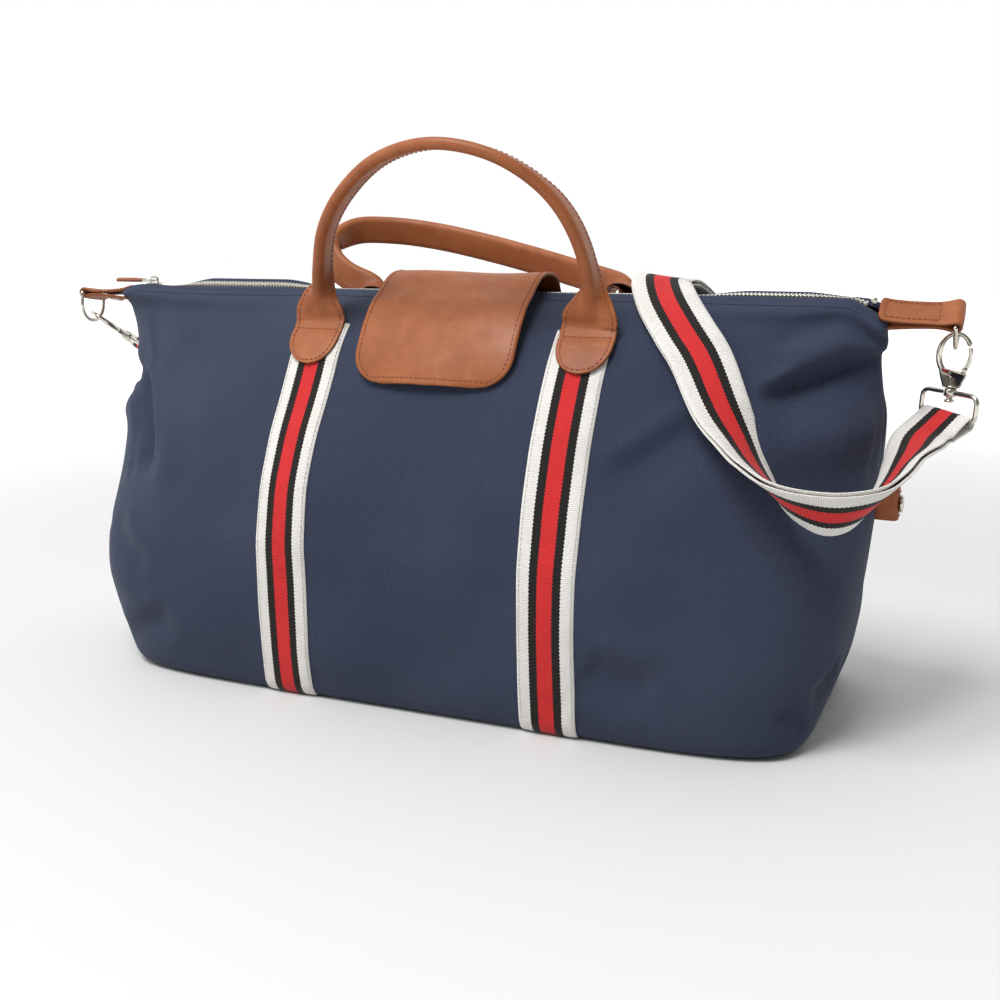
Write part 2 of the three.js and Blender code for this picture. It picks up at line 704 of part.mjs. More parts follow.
// Middle line of the flap from its hinge over the zip and down the front.
const FLAP_LINE = [
  [FLAP.hingeY - 1, FLAP.hingeZ + 1.8], [14, 296], [2, 300], [-12, 299.5], [-28, 293], [-43, 284],
  [-57, 271], [-68, 256], [-76, 242], [-82.5, 228],
];
function flapSheet() {
  const line = new THREE.SplineCurve(FLAP_LINE.map(([y, z]) => new THREE.Vector2(y, z)));
  const steps = 20;
  const top = [];
  const under = [];
  for (let i = 0; i <= steps; i += 1) {
    const t = i / steps;
    const point = line.getPoint(t);
    const along = line.getTangent(t);
    const face = new THREE.Vector2(along.y, -along.x);
    const corner = Math.max(0, (t - 0.8) / 0.2);
    const trim = 24 * (1 - Math.sqrt(Math.max(1 - corner ** 2.2, 0.02)));
    const left = FLAP.left + trim;
    const right = FLAP.right - trim;
    const columns = [0, 0.12, 0.5, 0.88, 1].map((share) => THREE.MathUtils.lerp(left, right, share));
    const place = (lift) => columns.map((x) => vec(x, point.x + face.x * lift, point.y + face.y * lift));
    top.push(place(LEATHER / 2));
    under.push(place(-LEATHER / 2));
  }
  return wall(top, under);
}
addPiece('flap', flapSheet(), 'leather');

function flapAnchor() {
  const heights = [244, 255, 264, 272, 278, 281.5];
  const columns = [FLAP.left, -20, 20, FLAP.right];
  const grid = (lift) => heights.map((z) => columns.map((x) => onSkin(x, z, 1, lift)));
  return wall(grid(1.2 + LEATHER), grid(1.2));
}
addPiece('flap_anchor', flapAnchor(), 'leather');

// Magnetic snap: one disc on the front panel, one under the flap.
function snapDisc(lift, thickness, radius) {
  const x = (FLAP.left + FLAP.right) / 2;
  const z = 243;
  const normal = skinNormal(x, z, -1);
  const disc = new THREE.CylinderGeometry(radius, radius, thickness, 16);
  disc.applyQuaternion(new THREE.Quaternion().setFromUnitVectors(vec(0, 1, 0), normal));
  const centre = onSkin(x, z, -1, lift + thickness / 2);
  disc.translate(centre.x, centre.y, centre.z);
  return disc;
}
addPiece('magnet_front', snapDisc(0.6, 1.6, 9), 'metal');
addPiece('magnet_flap', snapDisc(2.7, 1.6, 9), 'metal');

// ---------------------------------------------------------------- shoulder strap

// Route of the strap from the left ring, behind the bag, over the top and down
// to the right ring: centre, and the way the strap's outer face looks.
const STRAP_ROUTE = [
  [HARDWARE.left.bar.toArray(), [0.42, 0.43, 0.8]],
  [[-333, 66, 218], [0.4, 0.5, 0.77]],
  [[-318, 80, 201], [0.3, 0.65, 0.7]],
  [[-292, 92, 181], [0.2, 0.8, 0.55]],
  [[-258, 102, 163], [0.05, 0.9, 0.4]],
  [[-215, 111, 149], [-0.05, 0.96, 0.25]],
  [[-165, 119, 140], [-0.05, 0.98, 0.1]],
  [[-105, 123, 137], [0, 1, 0]],
  [[-48, 123, 140], [0, 1, 0]],
  [[10, 122, 148], [0.02, 0.99, 0.1]],
  [[60, 118, 161], [0.06, 0.97, 0.2]],
  [[100, 109, 179], [0.1, 0.93, 0.35]],
  [[128, 96, 202], [0.1, 0.88, 0.45]],
  [[146, 77, 228], [0.1, 0.8, 0.55]],
  [[155, 55, 254], [0.08, 0.74, 0.66]],
  [[156, 35, 276], [0.05, 0.62, 0.78]],
  [[151, 15, 294.3], [0, 0.4, 0.92]],
  [[147, -4, 298.4], [0, -0.1, 1]],
  [[159, -27, 285.5], [0.05, -0.6, 0.8]],
  [[174, -44, 266], [0.1, -0.66, 0.74]],
  [[186, -55, 250.5], [0.12, -0.7, 0.7]],
  [[202, -70, 221], [0.2, -0.78, 0.6]],
  [[213, -77, 204.5], [0.3, -0.75, 0.6]],
  [[225, -88, 189.5], [0.55, -0.45, 0.62]],
  [[238, -97, 178], [0.6, 0.2, 0.75]],
  [[253, -101, 170], [0.4, 0.55, 0.72]],
  [[275, -100, 165], [0.05, 0.75, 0.65]],
  [[293, -89, 168], [-0.25, 0.6, 0.7]],
  [[303, -70, 176], [-0.5, 0.3, 0.75]],
  [[309, -48, 184.5], [-0.6, -0.1, 0.65]],
  [[314, -24, 192.5], [-0.4, -0.3, 0.8]],
  [[317.5, -3, 199.9], [-0.21, -0.43, 0.87]],
  [HARDWARE.right.bar.toArray(), [-0.21, -0.43, 0.87]],
];
const LAYER_LIFT = 2.1;
const BAR_LIFT = 4.0;
const SLIDER_STATION = 10;        // the doubled webbing ends at this route point

const strapSteps = 3 * (STRAP_ROUTE.length - 1);
const strapCurve = resample(STRAP_ROUTE.map(([centre, face]) => ({
  centre: vec(...centre),
  face: vec(...face),
  halfWidth: WEBBING_WIDTH / 2,
  halfThickness: WEBBING_THICKNESS / 2,
})), strapSteps);

// One layer of the webbing: side 1 is the outer layer, -1 the layer under it. Close to
// a ring the layers part to pass over and under its bar, and draw in between its sides.
function strapLayer(from, side) {
  return strapCurve.slice(from).map((station) => {
    const nearest = Math.min(...Object.values(HARDWARE).map((place) => place.bar.distanceTo(station.centre)));
    const parting = Math.max(0, 1 - nearest / 16);
    return {
      ...station,
      halfWidth: WEBBING_WIDTH / 2 - parting,
      lift: side * THREE.MathUtils.lerp(LAYER_LIFT, BAR_LIFT, parting),
    };
  });
}
addPiece('strap_webbing', strip(strapLayer(0, 1)), 'webbing');
addPiece('strap_return_webbing', strip(strapLayer(3 * SLIDER_STATION, -1)), 'webbing');

// Three-bar slider that takes the end of the doubled webbing.
function strapSlider() {
  const shape = new THREE.Shape();
  shape.moveTo(-24, -9);
  shape.lineTo(24, -9);
  shape.lineTo(24, 9);
  shape.lineTo(-24, 9);
  for (const side of [-1, 1]) {
    const slot = new THREE.Path();
    slot.moveTo(-20.6, side * 1.6);
    slot.lineTo(20.6, side * 1.6);
    slot.lineTo(20.6, side * 6.2);
    slot.lineTo(-20.6, side * 6.2);
    shape.holes.push(slot);
  }
  const plate = new THREE.ExtrudeGeometry(shape, { depth: 2.2, bevelEnabled: false });
  plate.translate(0, 0, -1.1);
  return plate;
}
const sliderPlace = strapCurve[3 * SLIDER_STATION];
const sliderAlong = strapCurve[3 * SLIDER_STATION + 1].centre.clone().sub(sliderPlace.centre).normalize();
const sliderAcross = sliderAlong.clone().cross(sliderPlace.face).normalize();
const sliderFace = sliderAcross.clone().cross(sliderAlong).normalize();
const sliderGroup = new THREE.Group();
sliderGroup.matrixAutoUpdate = false;
sliderGroup.matrix.makeBasis(sliderAcross, sliderAlong, sliderFace)
  .setPosition(sliderPlace.centre.clone().addScaledVector(sliderFace, LAYER_LIFT + 3.2));
bag.add(sliderGroup);
addPiece('strap_slider', strapSlider(), 'metal', sliderGroup);

export default bag;
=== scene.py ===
"""Looks of the weekender bag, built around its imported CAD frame. Metres, +Z up, -Y to the front."""

import math

import bpy
import numpy as np
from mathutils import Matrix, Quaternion, Vector

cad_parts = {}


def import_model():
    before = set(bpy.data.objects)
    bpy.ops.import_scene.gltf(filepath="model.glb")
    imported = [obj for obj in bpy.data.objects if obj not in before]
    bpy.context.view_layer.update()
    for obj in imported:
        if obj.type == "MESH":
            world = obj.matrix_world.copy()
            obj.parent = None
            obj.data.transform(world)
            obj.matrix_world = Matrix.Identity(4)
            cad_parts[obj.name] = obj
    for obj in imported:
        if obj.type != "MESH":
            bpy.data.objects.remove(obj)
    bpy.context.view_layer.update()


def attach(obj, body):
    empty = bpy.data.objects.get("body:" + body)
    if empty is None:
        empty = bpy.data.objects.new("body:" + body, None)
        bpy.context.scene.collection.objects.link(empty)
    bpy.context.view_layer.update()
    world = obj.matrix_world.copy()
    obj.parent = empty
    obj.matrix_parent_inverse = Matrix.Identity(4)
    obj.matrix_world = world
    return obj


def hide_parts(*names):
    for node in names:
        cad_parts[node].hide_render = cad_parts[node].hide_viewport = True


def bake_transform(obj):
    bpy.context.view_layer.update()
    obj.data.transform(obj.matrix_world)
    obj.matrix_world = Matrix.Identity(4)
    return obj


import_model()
MM = 0.001

# ------------------------------------------------------------------ camera

CAMERA_PLACE = (0.3795, -0.8432, 0.3330)
CAMERA_TARGET = (0.0180, 0.0, 0.1325)
CAMERA_ROLL = math.radians(-0.19)
LENS, SENSOR = 44.91, 36


def add_camera():
    data = bpy.data.cameras.new("camera")
    data.lens = LENS
    data.sensor_width = SENSOR
    camera = bpy.data.objects.new("camera", data)
    bpy.context.scene.collection.objects.link(camera)
    camera.location = CAMERA_PLACE
    look = Vector(CAMERA_TARGET) - Vector(CAMERA_PLACE)
    turn = look.to_track_quat("-Z", "Y").to_matrix()
    camera.rotation_euler = (turn.to_quaternion() @ Quaternion((0, 0, 1), CAMERA_ROLL)).to_euler()
    bpy.context.scene.camera = camera

# ------------------------------------------------------------------ small mathematics


def vec(*values):
    return np.array(values, float)


def unit(v):
    v = np.asarray(v, float)
    return v / np.maximum(np.linalg.norm(v, axis=-1, keepdims=True), 1e-12)


def smooth_step(low, high, value):
    t = np.clip((np.asarray(value, float) - low) / (high - low), 0, 1)
    return t * t * (3 - 2 * t)


def lengths_along(points):
    steps = np.linalg.norm(np.diff(points, axis=0), axis=1)
    return np.concatenate([[0], np.cumsum(steps)])


def resample(points, count):
    """The same line with points at even distances."""
    points = np.asarray(points, float)
    along = lengths_along(points)
    places = np.linspace(0, along[-1], count)
    return np.stack([np.interp(places, along, points[:, k]) for k in range(points.shape[1])], axis=1)


def centripetal(points, t):
    """Centripetal Catmull-Rom through the points; t runs from 0 to 1 in equal shares per span."""
    p = [np.asarray(x, float) for x in points]
    last = len(p) - 1
    out = []
    for share in np.atleast_1d(t):
        place = share * last
        i = min(int(place), last - 1)
        w = place - i
        p1, p2 = p[i], p[i + 1]
        p0 = p[i - 1] if i > 0 else 2 * p[0] - p[1]
        p3 = p[i + 2] if i + 2 <= last else 2 * p[last] - p[last - 1]
        d0 = max(np.linalg.norm(p1 - p0) ** 0.5, 1e-4)
        d1 = max(np.linalg.norm(p2 - p1) ** 0.5, 1e-4)
        d2 = max(np.linalg.norm(p3 - p2) ** 0.5, 1e-4)
        m1 = d1 * ((p1 - p0) / d0 - (p2 - p0) / (d0 + d1) + (p2 - p1) / d1)
        m2 = d1 * ((p2 - p1) / d1 - (p3 - p1) / (d1 + d2) + (p3 - p2) / d2)
        out.append(p1 + m1 * w + (-3 * p1 + 3 * p2 - 2 * m1 - m2) * w ** 2
                   + (2 * p1 - 2 * p2 + m1 + m2) * w ** 3)
    return np.array(out)


def directions(points):
    """Unit tangents of an open line."""
    return unit(np.gradient(np.asarray(points, float), axis=0))


def turned(vectors, axes, angles):
    """Vectors turned about unit axes."""
    c = np.cos(angles)[..., None]
    s = np.sin(angles)[..., None]
    dot = np.sum(vectors * axes, axis=-1, keepdims=True)
    return vectors * c + np.cross(axes, vectors) * s + axes * dot * (1 - c)


# ------------------------------------------------------------------ mesh makers


def link(mesh, name):
    piece = bpy.data.objects.new(name, mesh)
    bpy.context.scene.collection.objects.link(piece)
    return piece


def add_values(mesh, name, values):
    layer = mesh.attributes.new(name, "FLOAT", "POINT")
    layer.data.foreach_set("value", np.asarray(values, np.float32).ravel())


def add_uv(mesh, per_vertex):
    layer = mesh.uv_layers.new(name="cloth")
    corner = np.zeros(len(mesh.loops), np.int32)
    mesh.loops.foreach_get("vertex_index", corner)
    layer.data.foreach_set("uv", np.asarray(per_vertex, np.float32)[corner].ravel())


def make_mesh(name, points, faces, uv=None, rim=None):
    """A smooth-shaded piece from points and faces, with its normals out."""
    mesh = bpy.data.meshes.new(name)
    mesh.from_pydata([tuple(p) for p in np.asarray(points, float)], [], faces)
    if uv is not None:
        add_uv(mesh, uv)
    if rim is not None:
        add_values(mesh, "rim", rim)
    mesh.polygons.foreach_set("use_smooth", [True] * len(mesh.polygons))
    mesh.update()
    mesh.validate()
    piece = link(mesh, name)
    if signed_volume(mesh) < 0:
        mesh.flip_normals()
    return piece


def signed_volume(mesh):
    co = np.zeros(len(mesh.vertices) * 3, np.float32)
    mesh.vertices.foreach_get("co", co)
    co = co.reshape(-1, 3).astype(float)
    total = 0.0
    for face in mesh.polygons:
        v = face.vertices
        for k in range(1, len(v) - 1):
            total += np.dot(co[v[0]], np.cross(co[v[k]], co[v[k + 1]]))
    return total


def ring_faces(ring_count, size, closed=False, offset=0):
    faces = []
    spans = ring_count if closed else ring_count - 1
    for i in range(spans):
        a = offset + i * size
        b = offset + ((i + 1) % ring_count) * size
        for j in range(size):
            k = (j + 1) % size
            faces.append((a + j, a + k, b + k, b + j))
    return faces


def loft(name, rings, closed=False, uv=None, rim=None):
    """A skin through rings of equal size; open ends are closed with a fan."""
    rings = np.asarray(rings, float)
    count, size = rings.shape[:2]
    points = rings.reshape(-1, 3)
    faces = ring_faces(count, size, closed)
    if not closed:
        faces.append(tuple(range(size)))
        faces.append(tuple(reversed(range((count - 1) * size, count * size))))
    return make_mesh(name, points, faces, uv, rim)


EDGE_BULGE = 0.35


def slab(name, outer, inner, uv=None):
    """A closed sheet between two grids of the same size, with a rounded rim."""
    outer, inner = np.asarray(outer, float), np.asarray(inner, float)
    rows, columns = outer.shape[:2]
    count = rows * columns
    points = np.concatenate([outer.reshape(-1, 3), inner.reshape(-1, 3)])
    faces = []
    for r in range(rows - 1):
        for c in range(columns - 1):
            a = r * columns + c
            faces.append((a, a + 1, a + columns + 1, a + columns))
            faces.append((count + a, count + a + columns, count + a + columns + 1, count + a + 1))
    border = (list(range(columns)) + [r * columns + columns - 1 for r in range(1, rows)]
              + [(rows - 1) * columns + c for c in range(columns - 2, -1, -1)]
              + [r * columns for r in range(rows - 2, 0, -1)])
    middle = len(points)
    bulge = []
    for b in border:
        r, c = divmod(b, columns)
        thickness = np.linalg.norm(outer[r, c] - inner[r, c])
        inside = outer[min(max(r, 1), rows - 2), min(max(c, 1), columns - 2)]
        out = unit(outer[r, c] - inside)
        bulge.append((outer[r, c] + inner[r, c]) / 2 + out * thickness * EDGE_BULGE)
    points = np.concatenate([points, np.array(bulge)])
    ring = len(border)
    for i, b in enumerate(border):
        nxt = border[(i + 1) % ring]
        m, n = middle + i, middle + (i + 1) % ring
        faces.append((b, m, n, nxt))
        faces.append((m, b + count, nxt + count, n))
    if uv is not None:
        flat = np.asarray(uv, float).reshape(-1, 2)
        uv = np.concatenate([flat, flat, flat[border]])
    rim = np.zeros(len(points))
    rim[middle:] = 1.0
    return make_mesh(name, points, faces, uv, rim)


def tube(name, points, radius, closed=False, sides=16, normal=None, flatness=1.0):
    """A round or flattened bar along a line. The radius may differ from point to point."""
    points = np.asarray(points, float)
    count = len(points)
    radius = np.broadcast_to(np.asarray(radius, float), count)
    if closed:
        along = unit(np.roll(points, -1, axis=0) - np.roll(points, 1, axis=0))
    else:
        along = directions(points)
    if normal is None:
        normal = carried_normals(along)
    normal = np.broadcast_to(np.asarray(normal, float), points.shape)
    across = unit(np.cross(along, normal))
    up = unit(np.cross(across, along))
    turn = 2 * math.pi * (np.arange(sides) + 0.5) / sides
    rings = (points[:, None] + radius[:, None, None] * (np.cos(turn)[None, :, None] * across[:, None]
             + flatness * np.sin(turn)[None, :, None] * up[:, None]))
    return loft(name, rings, closed)


def carried_normals(along):
    """Normals carried along a line with no twist."""
    first = np.cross(along[0], vec(0, 0, 1))
    if np.linalg.norm(first) < 0.1:
        first = np.cross(along[0], vec(1, 0, 0))
    normals = [unit(first)]
    for before, here in zip(along[:-1], along[1:]):
        axis = np.cross(before, here)
        size = np.linalg.norm(axis)
        last = normals[-1]
        if size > 1e-9:
            angle = math.atan2(size, float(np.dot(before, here)))
            last = turned(last[None], (axis / size)[None], np.array([angle]))[0]
        normals.append(last)
    return np.array(normals)


def join(pieces, name):
    """Several pieces as one object with several separate bodies."""
    bpy.ops.object.select_all(action="DESELECT")
    for piece in pieces:
        piece.select_set(True)
    bpy.context.view_layer.objects.active = pieces[0]
    if len(pieces) > 1:
        bpy.ops.object.join()
    pieces[0].name = name
    pieces[0].data.name = name
    return pieces[0]


STITCH_SIDES = 6
# Pitch, length and radius of the stitches in the leather's seams.
LEATHER_SEAM = (3.7 * MM, 2.8 * MM, 0.3 * MM)
UP = vec(0, 0, 1)


def stitches(name, points, normals, pitch=3.9 * MM, length=3.0 * MM, radius=0.34 * MM, lift=0.18 * MM,
             closed=False):
    """Thread stitches along a line on a surface, each a short arched capsule."""
    points = np.asarray(points, float)
    normals = unit(np.broadcast_to(np.asarray(normals, float), points.shape))
    if closed:
        points = np.concatenate([points, points[:1]])
        normals = np.concatenate([normals, normals[:1]])
    along = lengths_along(points)
    count = max(int(along[-1] / pitch), 1)
    starts = (np.arange(count) + 0.5) * along[-1] / count
    shape_t = vec(-0.5, -0.46, -0.3, 0, 0.3, 0.46, 0.5)
    shape_r = vec(0.35, 0.8, 1, 1, 1, 0.8, 0.35)
    shape_h = vec(-1.6, -0.7, 0.35, 0.8, 0.35, -0.7, -1.6)
    places = starts[:, None] + shape_t[None] * length

    def at(values):
        return np.stack([np.interp(places, along, values[:, k]) for k in range(3)], axis=-1)

    centre = at(points)
    up = unit(at(normals))
    forward = unit(np.gradient(centre, axis=1))
    side = unit(np.cross(forward, up))
    up = unit(np.cross(side, forward))
    centre = centre + up * (lift + shape_h[None, :, None] * radius)
    turn = 2 * math.pi * np.arange(STITCH_SIDES) / STITCH_SIDES
    size = radius * shape_r
    rings = (centre[:, :, None] + size[None, :, None, None]
             * (np.cos(turn)[None, None, :, None] * side[:, :, None]
                + np.sin(turn)[None, None, :, None] * up[:, :, None]))
    faces = []
    rings_per = len(shape_t)
    for i in range(count):
        base = i * rings_per * STITCH_SIDES
        faces += ring_faces(rings_per, STITCH_SIDES, False, base)
        faces.append(tuple(range(base, base + STITCH_SIDES)))
        faces.append(tuple(reversed(range(base + (rings_per - 1) * STITCH_SIDES,
                                          base + rings_per * STITCH_SIDES))))
    return make_mesh(name, rings.reshape(-1, 3), faces)


# ------------------------------------------------------------------ materials


class Shader:
    """A node material with a Principled shader and a bump chain."""

    def __init__(self, name):
        self.material = bpy.data.materials.new(name)
        self.material.use_nodes = True
        self.tree = self.material.node_tree
        self.tree.nodes.clear()
        self.out = self.add("ShaderNodeOutputMaterial")
        self.surface = self.add("ShaderNodeBsdfPrincipled")
        self.tree.links.new(self.surface.outputs[0], self.out.inputs[0])

    def add(self, kind, settings=None, **inputs):
        node = self.tree.nodes.new(kind)
        for key, value in (settings or {}).items():
            setattr(node, key, value)
        for key, value in inputs.items():
            self.give(node, key, value)
        return node

    def give(self, node, key, value):
        socket = node.inputs[int(key[1:])] if key[0] == "i" and key[1:].isdigit() else node.inputs[key]
        if isinstance(value, bpy.types.NodeSocket):
            self.tree.links.new(value, socket)
        else:
            socket.default_value = value

    def math(self, operation, a, b=0.0, c=0.0):
        return self.add("ShaderNodeMath", {"operation": operation}, i0=a, i1=b, i2=c).outputs[0]

    def mix(self, factor, a, b, blend="MIX"):
        node = self.add("ShaderNodeMix", {"data_type": "RGBA", "blend_type": blend})
        self.give(node, "i0", factor)
        self.give(node, "i6", a)
        self.give(node, "i7", b)
        return node.outputs[2]

    def object_place(self):
        return self.add("ShaderNodeTexCoord").outputs["Object"]

    def cloth_place(self):
        return self.add("ShaderNodeUVMap", {"uv_map": "cloth"}).outputs[0]

    def noise(self, place, scale, detail=3.0, roughness=0.55, distortion=0.0):
        node = self.add("ShaderNodeTexNoise", None, Vector=place, Scale=scale, Detail=detail,
                        Roughness=roughness, Distortion=distortion)
        return node.outputs[0]

    def wave(self, place, period, turn=0.0, distortion=0.0, detail_scale=1.0):
        """Even lines across a direction, one per period."""
        spin = self.add("ShaderNodeMapping", None, Vector=place, Rotation=(0, 0, turn))
        scale = 2 * math.pi / 20 / period
        node = self.add("ShaderNodeTexWave", {"wave_type": "BANDS", "bands_direction": "X"},
                        Vector=spin.outputs[0], Scale=scale, Distortion=distortion, Detail=2.0)
        node.inputs["Detail Scale"].default_value = detail_scale
        return node.outputs[1]

    def ramp(self, value, stops, mode="LINEAR"):
        node = self.add("ShaderNodeValToRGB", None, Fac=value)
        node.color_ramp.interpolation = mode
        elements = node.color_ramp.elements
        while len(elements) < len(stops):
            elements.new(0.5)
        for element, (place, colour) in zip(elements, stops):
            element.position = place
            element.color = colour if len(colour) == 4 else (*colour, 1)
        return node.outputs[0]

    def bump(self, height, distance, strength=1.0, base=None):
        node = self.add("ShaderNodeBump", None, Height=height, Distance=distance, Strength=strength)
        if base is not None:
            self.give(node, "Normal", base)
        return node.outputs[0]

    def finish(self, **values):
        for key, value in values.items():
            self.give(self.surface, key.replace("_", " "), value)
        return self.material


def grey(v):
    return (v, v, v, 1)


def canvas_material(name, dark, light, worn):
    """Twill canvas: diagonal wales, crossing threads, soft fading."""
    s = Shader(name)
    cloth = s.cloth_place()
    place = s.object_place()
    wale = s.wave(cloth, 1.55 * MM, math.radians(38), 0.6, 2.0)
    thread = s.wave(cloth, 0.8 * MM, math.radians(-58), 0.4, 2.0)
    weave = s.math("MULTIPLY_ADD", wale, 0.72, s.math("MULTIPLY", thread, 0.28))
    fade = s.noise(place, 7.0, 2.0)
    fleck = s.noise(place, 900.0, 2.0)
    body = s.mix(s.math("MULTIPLY_ADD", fleck, 0.45, s.math("MULTIPLY", weave, 0.55)), dark, light)
    body = s.mix(s.ramp(fade, [(0.42, grey(0)), (0.72, grey(0.35))]), body, worn)
    normal = s.bump(weave, 0.30 * MM, 0.9)
    normal = s.bump(s.noise(place, 55.0, 4.0), 0.9 * MM, 0.25, normal)
    return s.finish(Base_Color=body, Roughness=0.88, Normal=normal, Sheen_Weight=0.12, Sheen_Roughness=0.45,
                    Sheen_Tint=(0.68, 0.73, 0.85, 1), Specular_IOR_Level=0.22)


WHITE_THREAD = (0.90, 0.875, 0.83, 1)
BLACK_THREAD = (0.0115, 0.0090, 0.0085, 1)
RED_THREAD = (0.72, 0.026, 0.028, 1)
HALF_WEBBING = 20 * MM
RED_EDGE = 5.3 * MM
BLACK_EDGE = 11.0 * MM
BAND_SHIFT = 0.35 * MM
RIB_PITCH = 1.3 * MM


def webbing_material():
    """Striped webbing: woven bands along it, ribs across it, stepped borders between colours."""
    s = Shader("webbing_stripes")
    cloth = s.add("ShaderNodeSeparateXYZ", None, Vector=s.cloth_place())
    across, along = cloth.outputs[0], cloth.outputs[1]
    step = s.math("PINGPONG", along, RIB_PITCH)
    off = s.math("ABSOLUTE", across)
    off = s.math("ADD", off, s.math("MULTIPLY", step, 0.55))
    share = s.math("DIVIDE", off, HALF_WEBBING)
    red, black = ((edge + BAND_SHIFT) / HALF_WEBBING for edge in (RED_EDGE, BLACK_EDGE))
    colour = s.ramp(share, [(0, RED_THREAD), (red, BLACK_THREAD), (black, WHITE_THREAD)], "CONSTANT")
    place = s.cloth_place()
    rib = s.wave(place, RIB_PITCH, math.radians(90), 0.25, 3.0)
    warp = s.wave(place, 1.05 * MM, 0.0, 0.25, 3.0)
    weave = s.math("MULTIPLY", rib, s.math("MULTIPLY_ADD", warp, 0.45, 0.55))
    soil = s.noise(s.object_place(), 60.0, 4.0)
    colour = s.mix(s.math("MULTIPLY_ADD", weave, -0.32, 0.32), colour, grey(0.12), "MULTIPLY")
    soil = s.ramp(soil, [(0.45, grey(0)), (0.8, grey(0.18))])
    colour = s.mix(soil, colour, (0.45, 0.40, 0.34, 1), "MULTIPLY")
    normal = s.bump(weave, 0.32 * MM, 0.8)
    return s.finish(Base_Color=colour, Roughness=0.82, Normal=normal, Sheen_Weight=0.15,
                    Sheen_Roughness=0.4, Specular_IOR_Level=0.3)


def leather_material(name):
    """Smooth cognac leather: mottled, fine pores, scuffs, dark painted edges."""
    s = Shader(name)
    place = s.object_place()
    mottle = s.noise(place, 16.0, 4.0, 0.6)
    cloud = s.noise(place, 60.0, 5.0, 0.65, 0.4)
    dark, mid, light = (0.205, 0.055, 0.0140, 1), (0.300, 0.086, 0.0235, 1), (0.400, 0.134, 0.041, 1)
    colour = s.ramp(s.math("MULTIPLY_ADD", mottle, 0.6, s.math("MULTIPLY", cloud, 0.4)),
                    [(0.30, dark), (0.5, mid), (0.72, light)])
    scratch = s.add("ShaderNodeMapping", None, Vector=place, Scale=(1, 1, 9), Rotation=(0.3, 0.7, 0.2))
    scuff = s.ramp(s.noise(scratch.outputs[0], 55.0, 2.0), [(0.66, grey(0)), (0.70, grey(0.35))])
    colour = s.mix(scuff, colour, light)
    rim = s.add("ShaderNodeAttribute", {"attribute_name": "rim"}).outputs["Fac"]
    colour = s.mix(s.ramp(rim, [(0.25, grey(0)), (0.8, grey(0.75))]), colour, (0.125, 0.038, 0.015, 1))
    cells = s.add("ShaderNodeTexVoronoi", {"feature": "DISTANCE_TO_EDGE"}, Vector=place, Scale=620.0)
    pores = s.ramp(cells.outputs[0], [(0.0, grey(0)), (0.25, grey(1))])
    normal = s.bump(pores, 0.06 * MM, 0.55)
    normal = s.bump(s.noise(place, 150.0, 4.0), 0.35 * MM, 0.3, normal)
    gloss = s.ramp(s.noise(place, 45.0, 3.0), [(0.3, grey(0.44)), (0.75, grey(0.60))])
    return s.finish(Base_Color=colour, Roughness=gloss, Normal=normal, Specular_IOR_Level=0.36,
                    Coat_Weight=0.05, Coat_Roughness=0.4)


def metal_material(name, colour, roughness):
    """Polished plating with faint waviness and hairline wear."""
    s = Shader(name)
    place = s.object_place()
    wear = s.ramp(s.noise(place, 260.0, 4.0, 0.7), [(0.35, grey(roughness)), (0.75, grey(roughness + 0.16))])
    tone = s.mix(s.noise(place, 90.0, 2.0), colour, tuple(0.86 * c for c in colour[:3]) + (1,))
    normal = s.bump(s.noise(place, 130.0, 2.0), 0.12 * MM, 0.25)
    return s.finish(Base_Color=tone, Metallic=1.0, Roughness=wear, Normal=normal)


def thread_material(name, colour):
    """Twisted sewing thread."""
    s = Shader(name)
    place = s.object_place()
    ply = s.noise(place, 2200.0, 2.0)
    tone = s.mix(ply, colour, tuple(0.6 * c for c in colour[:3]) + (1,))
    return s.finish(Base_Color=tone, Roughness=0.6, Normal=s.bump(ply, 0.1 * MM, 0.4),
                    Sheen_Weight=0.1)


def tape_material():
    """Zip tape: narrow woven rows along it."""
    s = Shader("zip_tape_weave")
    cloth = s.cloth_place()
    row = s.wave(cloth, 0.9 * MM, math.radians(90), 0.3)
    colour = s.mix(row, (0.010, 0.014, 0.032, 1), (0.030, 0.040, 0.080, 1))
    return s.finish(Base_Color=colour, Roughness=0.85, Normal=s.bump(row, 0.2 * MM, 0.7))


def board_material():
    """Grey fibre board."""
    s = Shader("board_fibre")
    fibre = s.noise(s.object_place(), 400.0, 5.0, 0.7)
    colour = s.mix(fibre, (0.03, 0.03, 0.032, 1), (0.09, 0.09, 0.095, 1))
    return s.finish(Base_Color=colour, Roughness=0.8, Normal=s.bump(fibre, 0.2 * MM, 0.5))


CANVAS = canvas_material("navy_canvas", (0.0085, 0.0125, 0.026, 1), (0.052, 0.066, 0.116, 1),
                         (0.058, 0.068, 0.108, 1))
LINING_CLOTH = canvas_material("lining_cloth", (0.008, 0.011, 0.024, 1), (0.018, 0.024, 0.05, 1),
                               (0.02, 0.026, 0.05, 1))
WEBBING = webbing_material()
LEATHER = leather_material("cognac_leather")
NICKEL = metal_material("polished_nickel", (0.70, 0.66, 0.585, 1), 0.13)
ZIP_METAL = metal_material("zip_nickel", (0.74, 0.71, 0.63, 1), 0.22)
RUST_THREAD = thread_material("rust_thread", (0.36, 0.082, 0.028, 1))
NAVY_THREAD = thread_material("navy_thread", (0.012, 0.018, 0.045, 1))
CREAM_THREAD = thread_material("cream_thread", (0.80, 0.77, 0.71, 1))
TAPE = tape_material()
BOARD = board_material()


def dress(piece, material):
    piece.data.materials.clear()
    piece.data.materials.append(material)


def settle(piece, material, slot, body, *nodes):
    """Gives a piece its material, the CAD nodes it stands for, and the body it moves with."""
    dress(piece, material)
    if nodes:
        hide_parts(*nodes)
    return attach(piece, body)

# ------------------------------------------------------------------ the body's shape

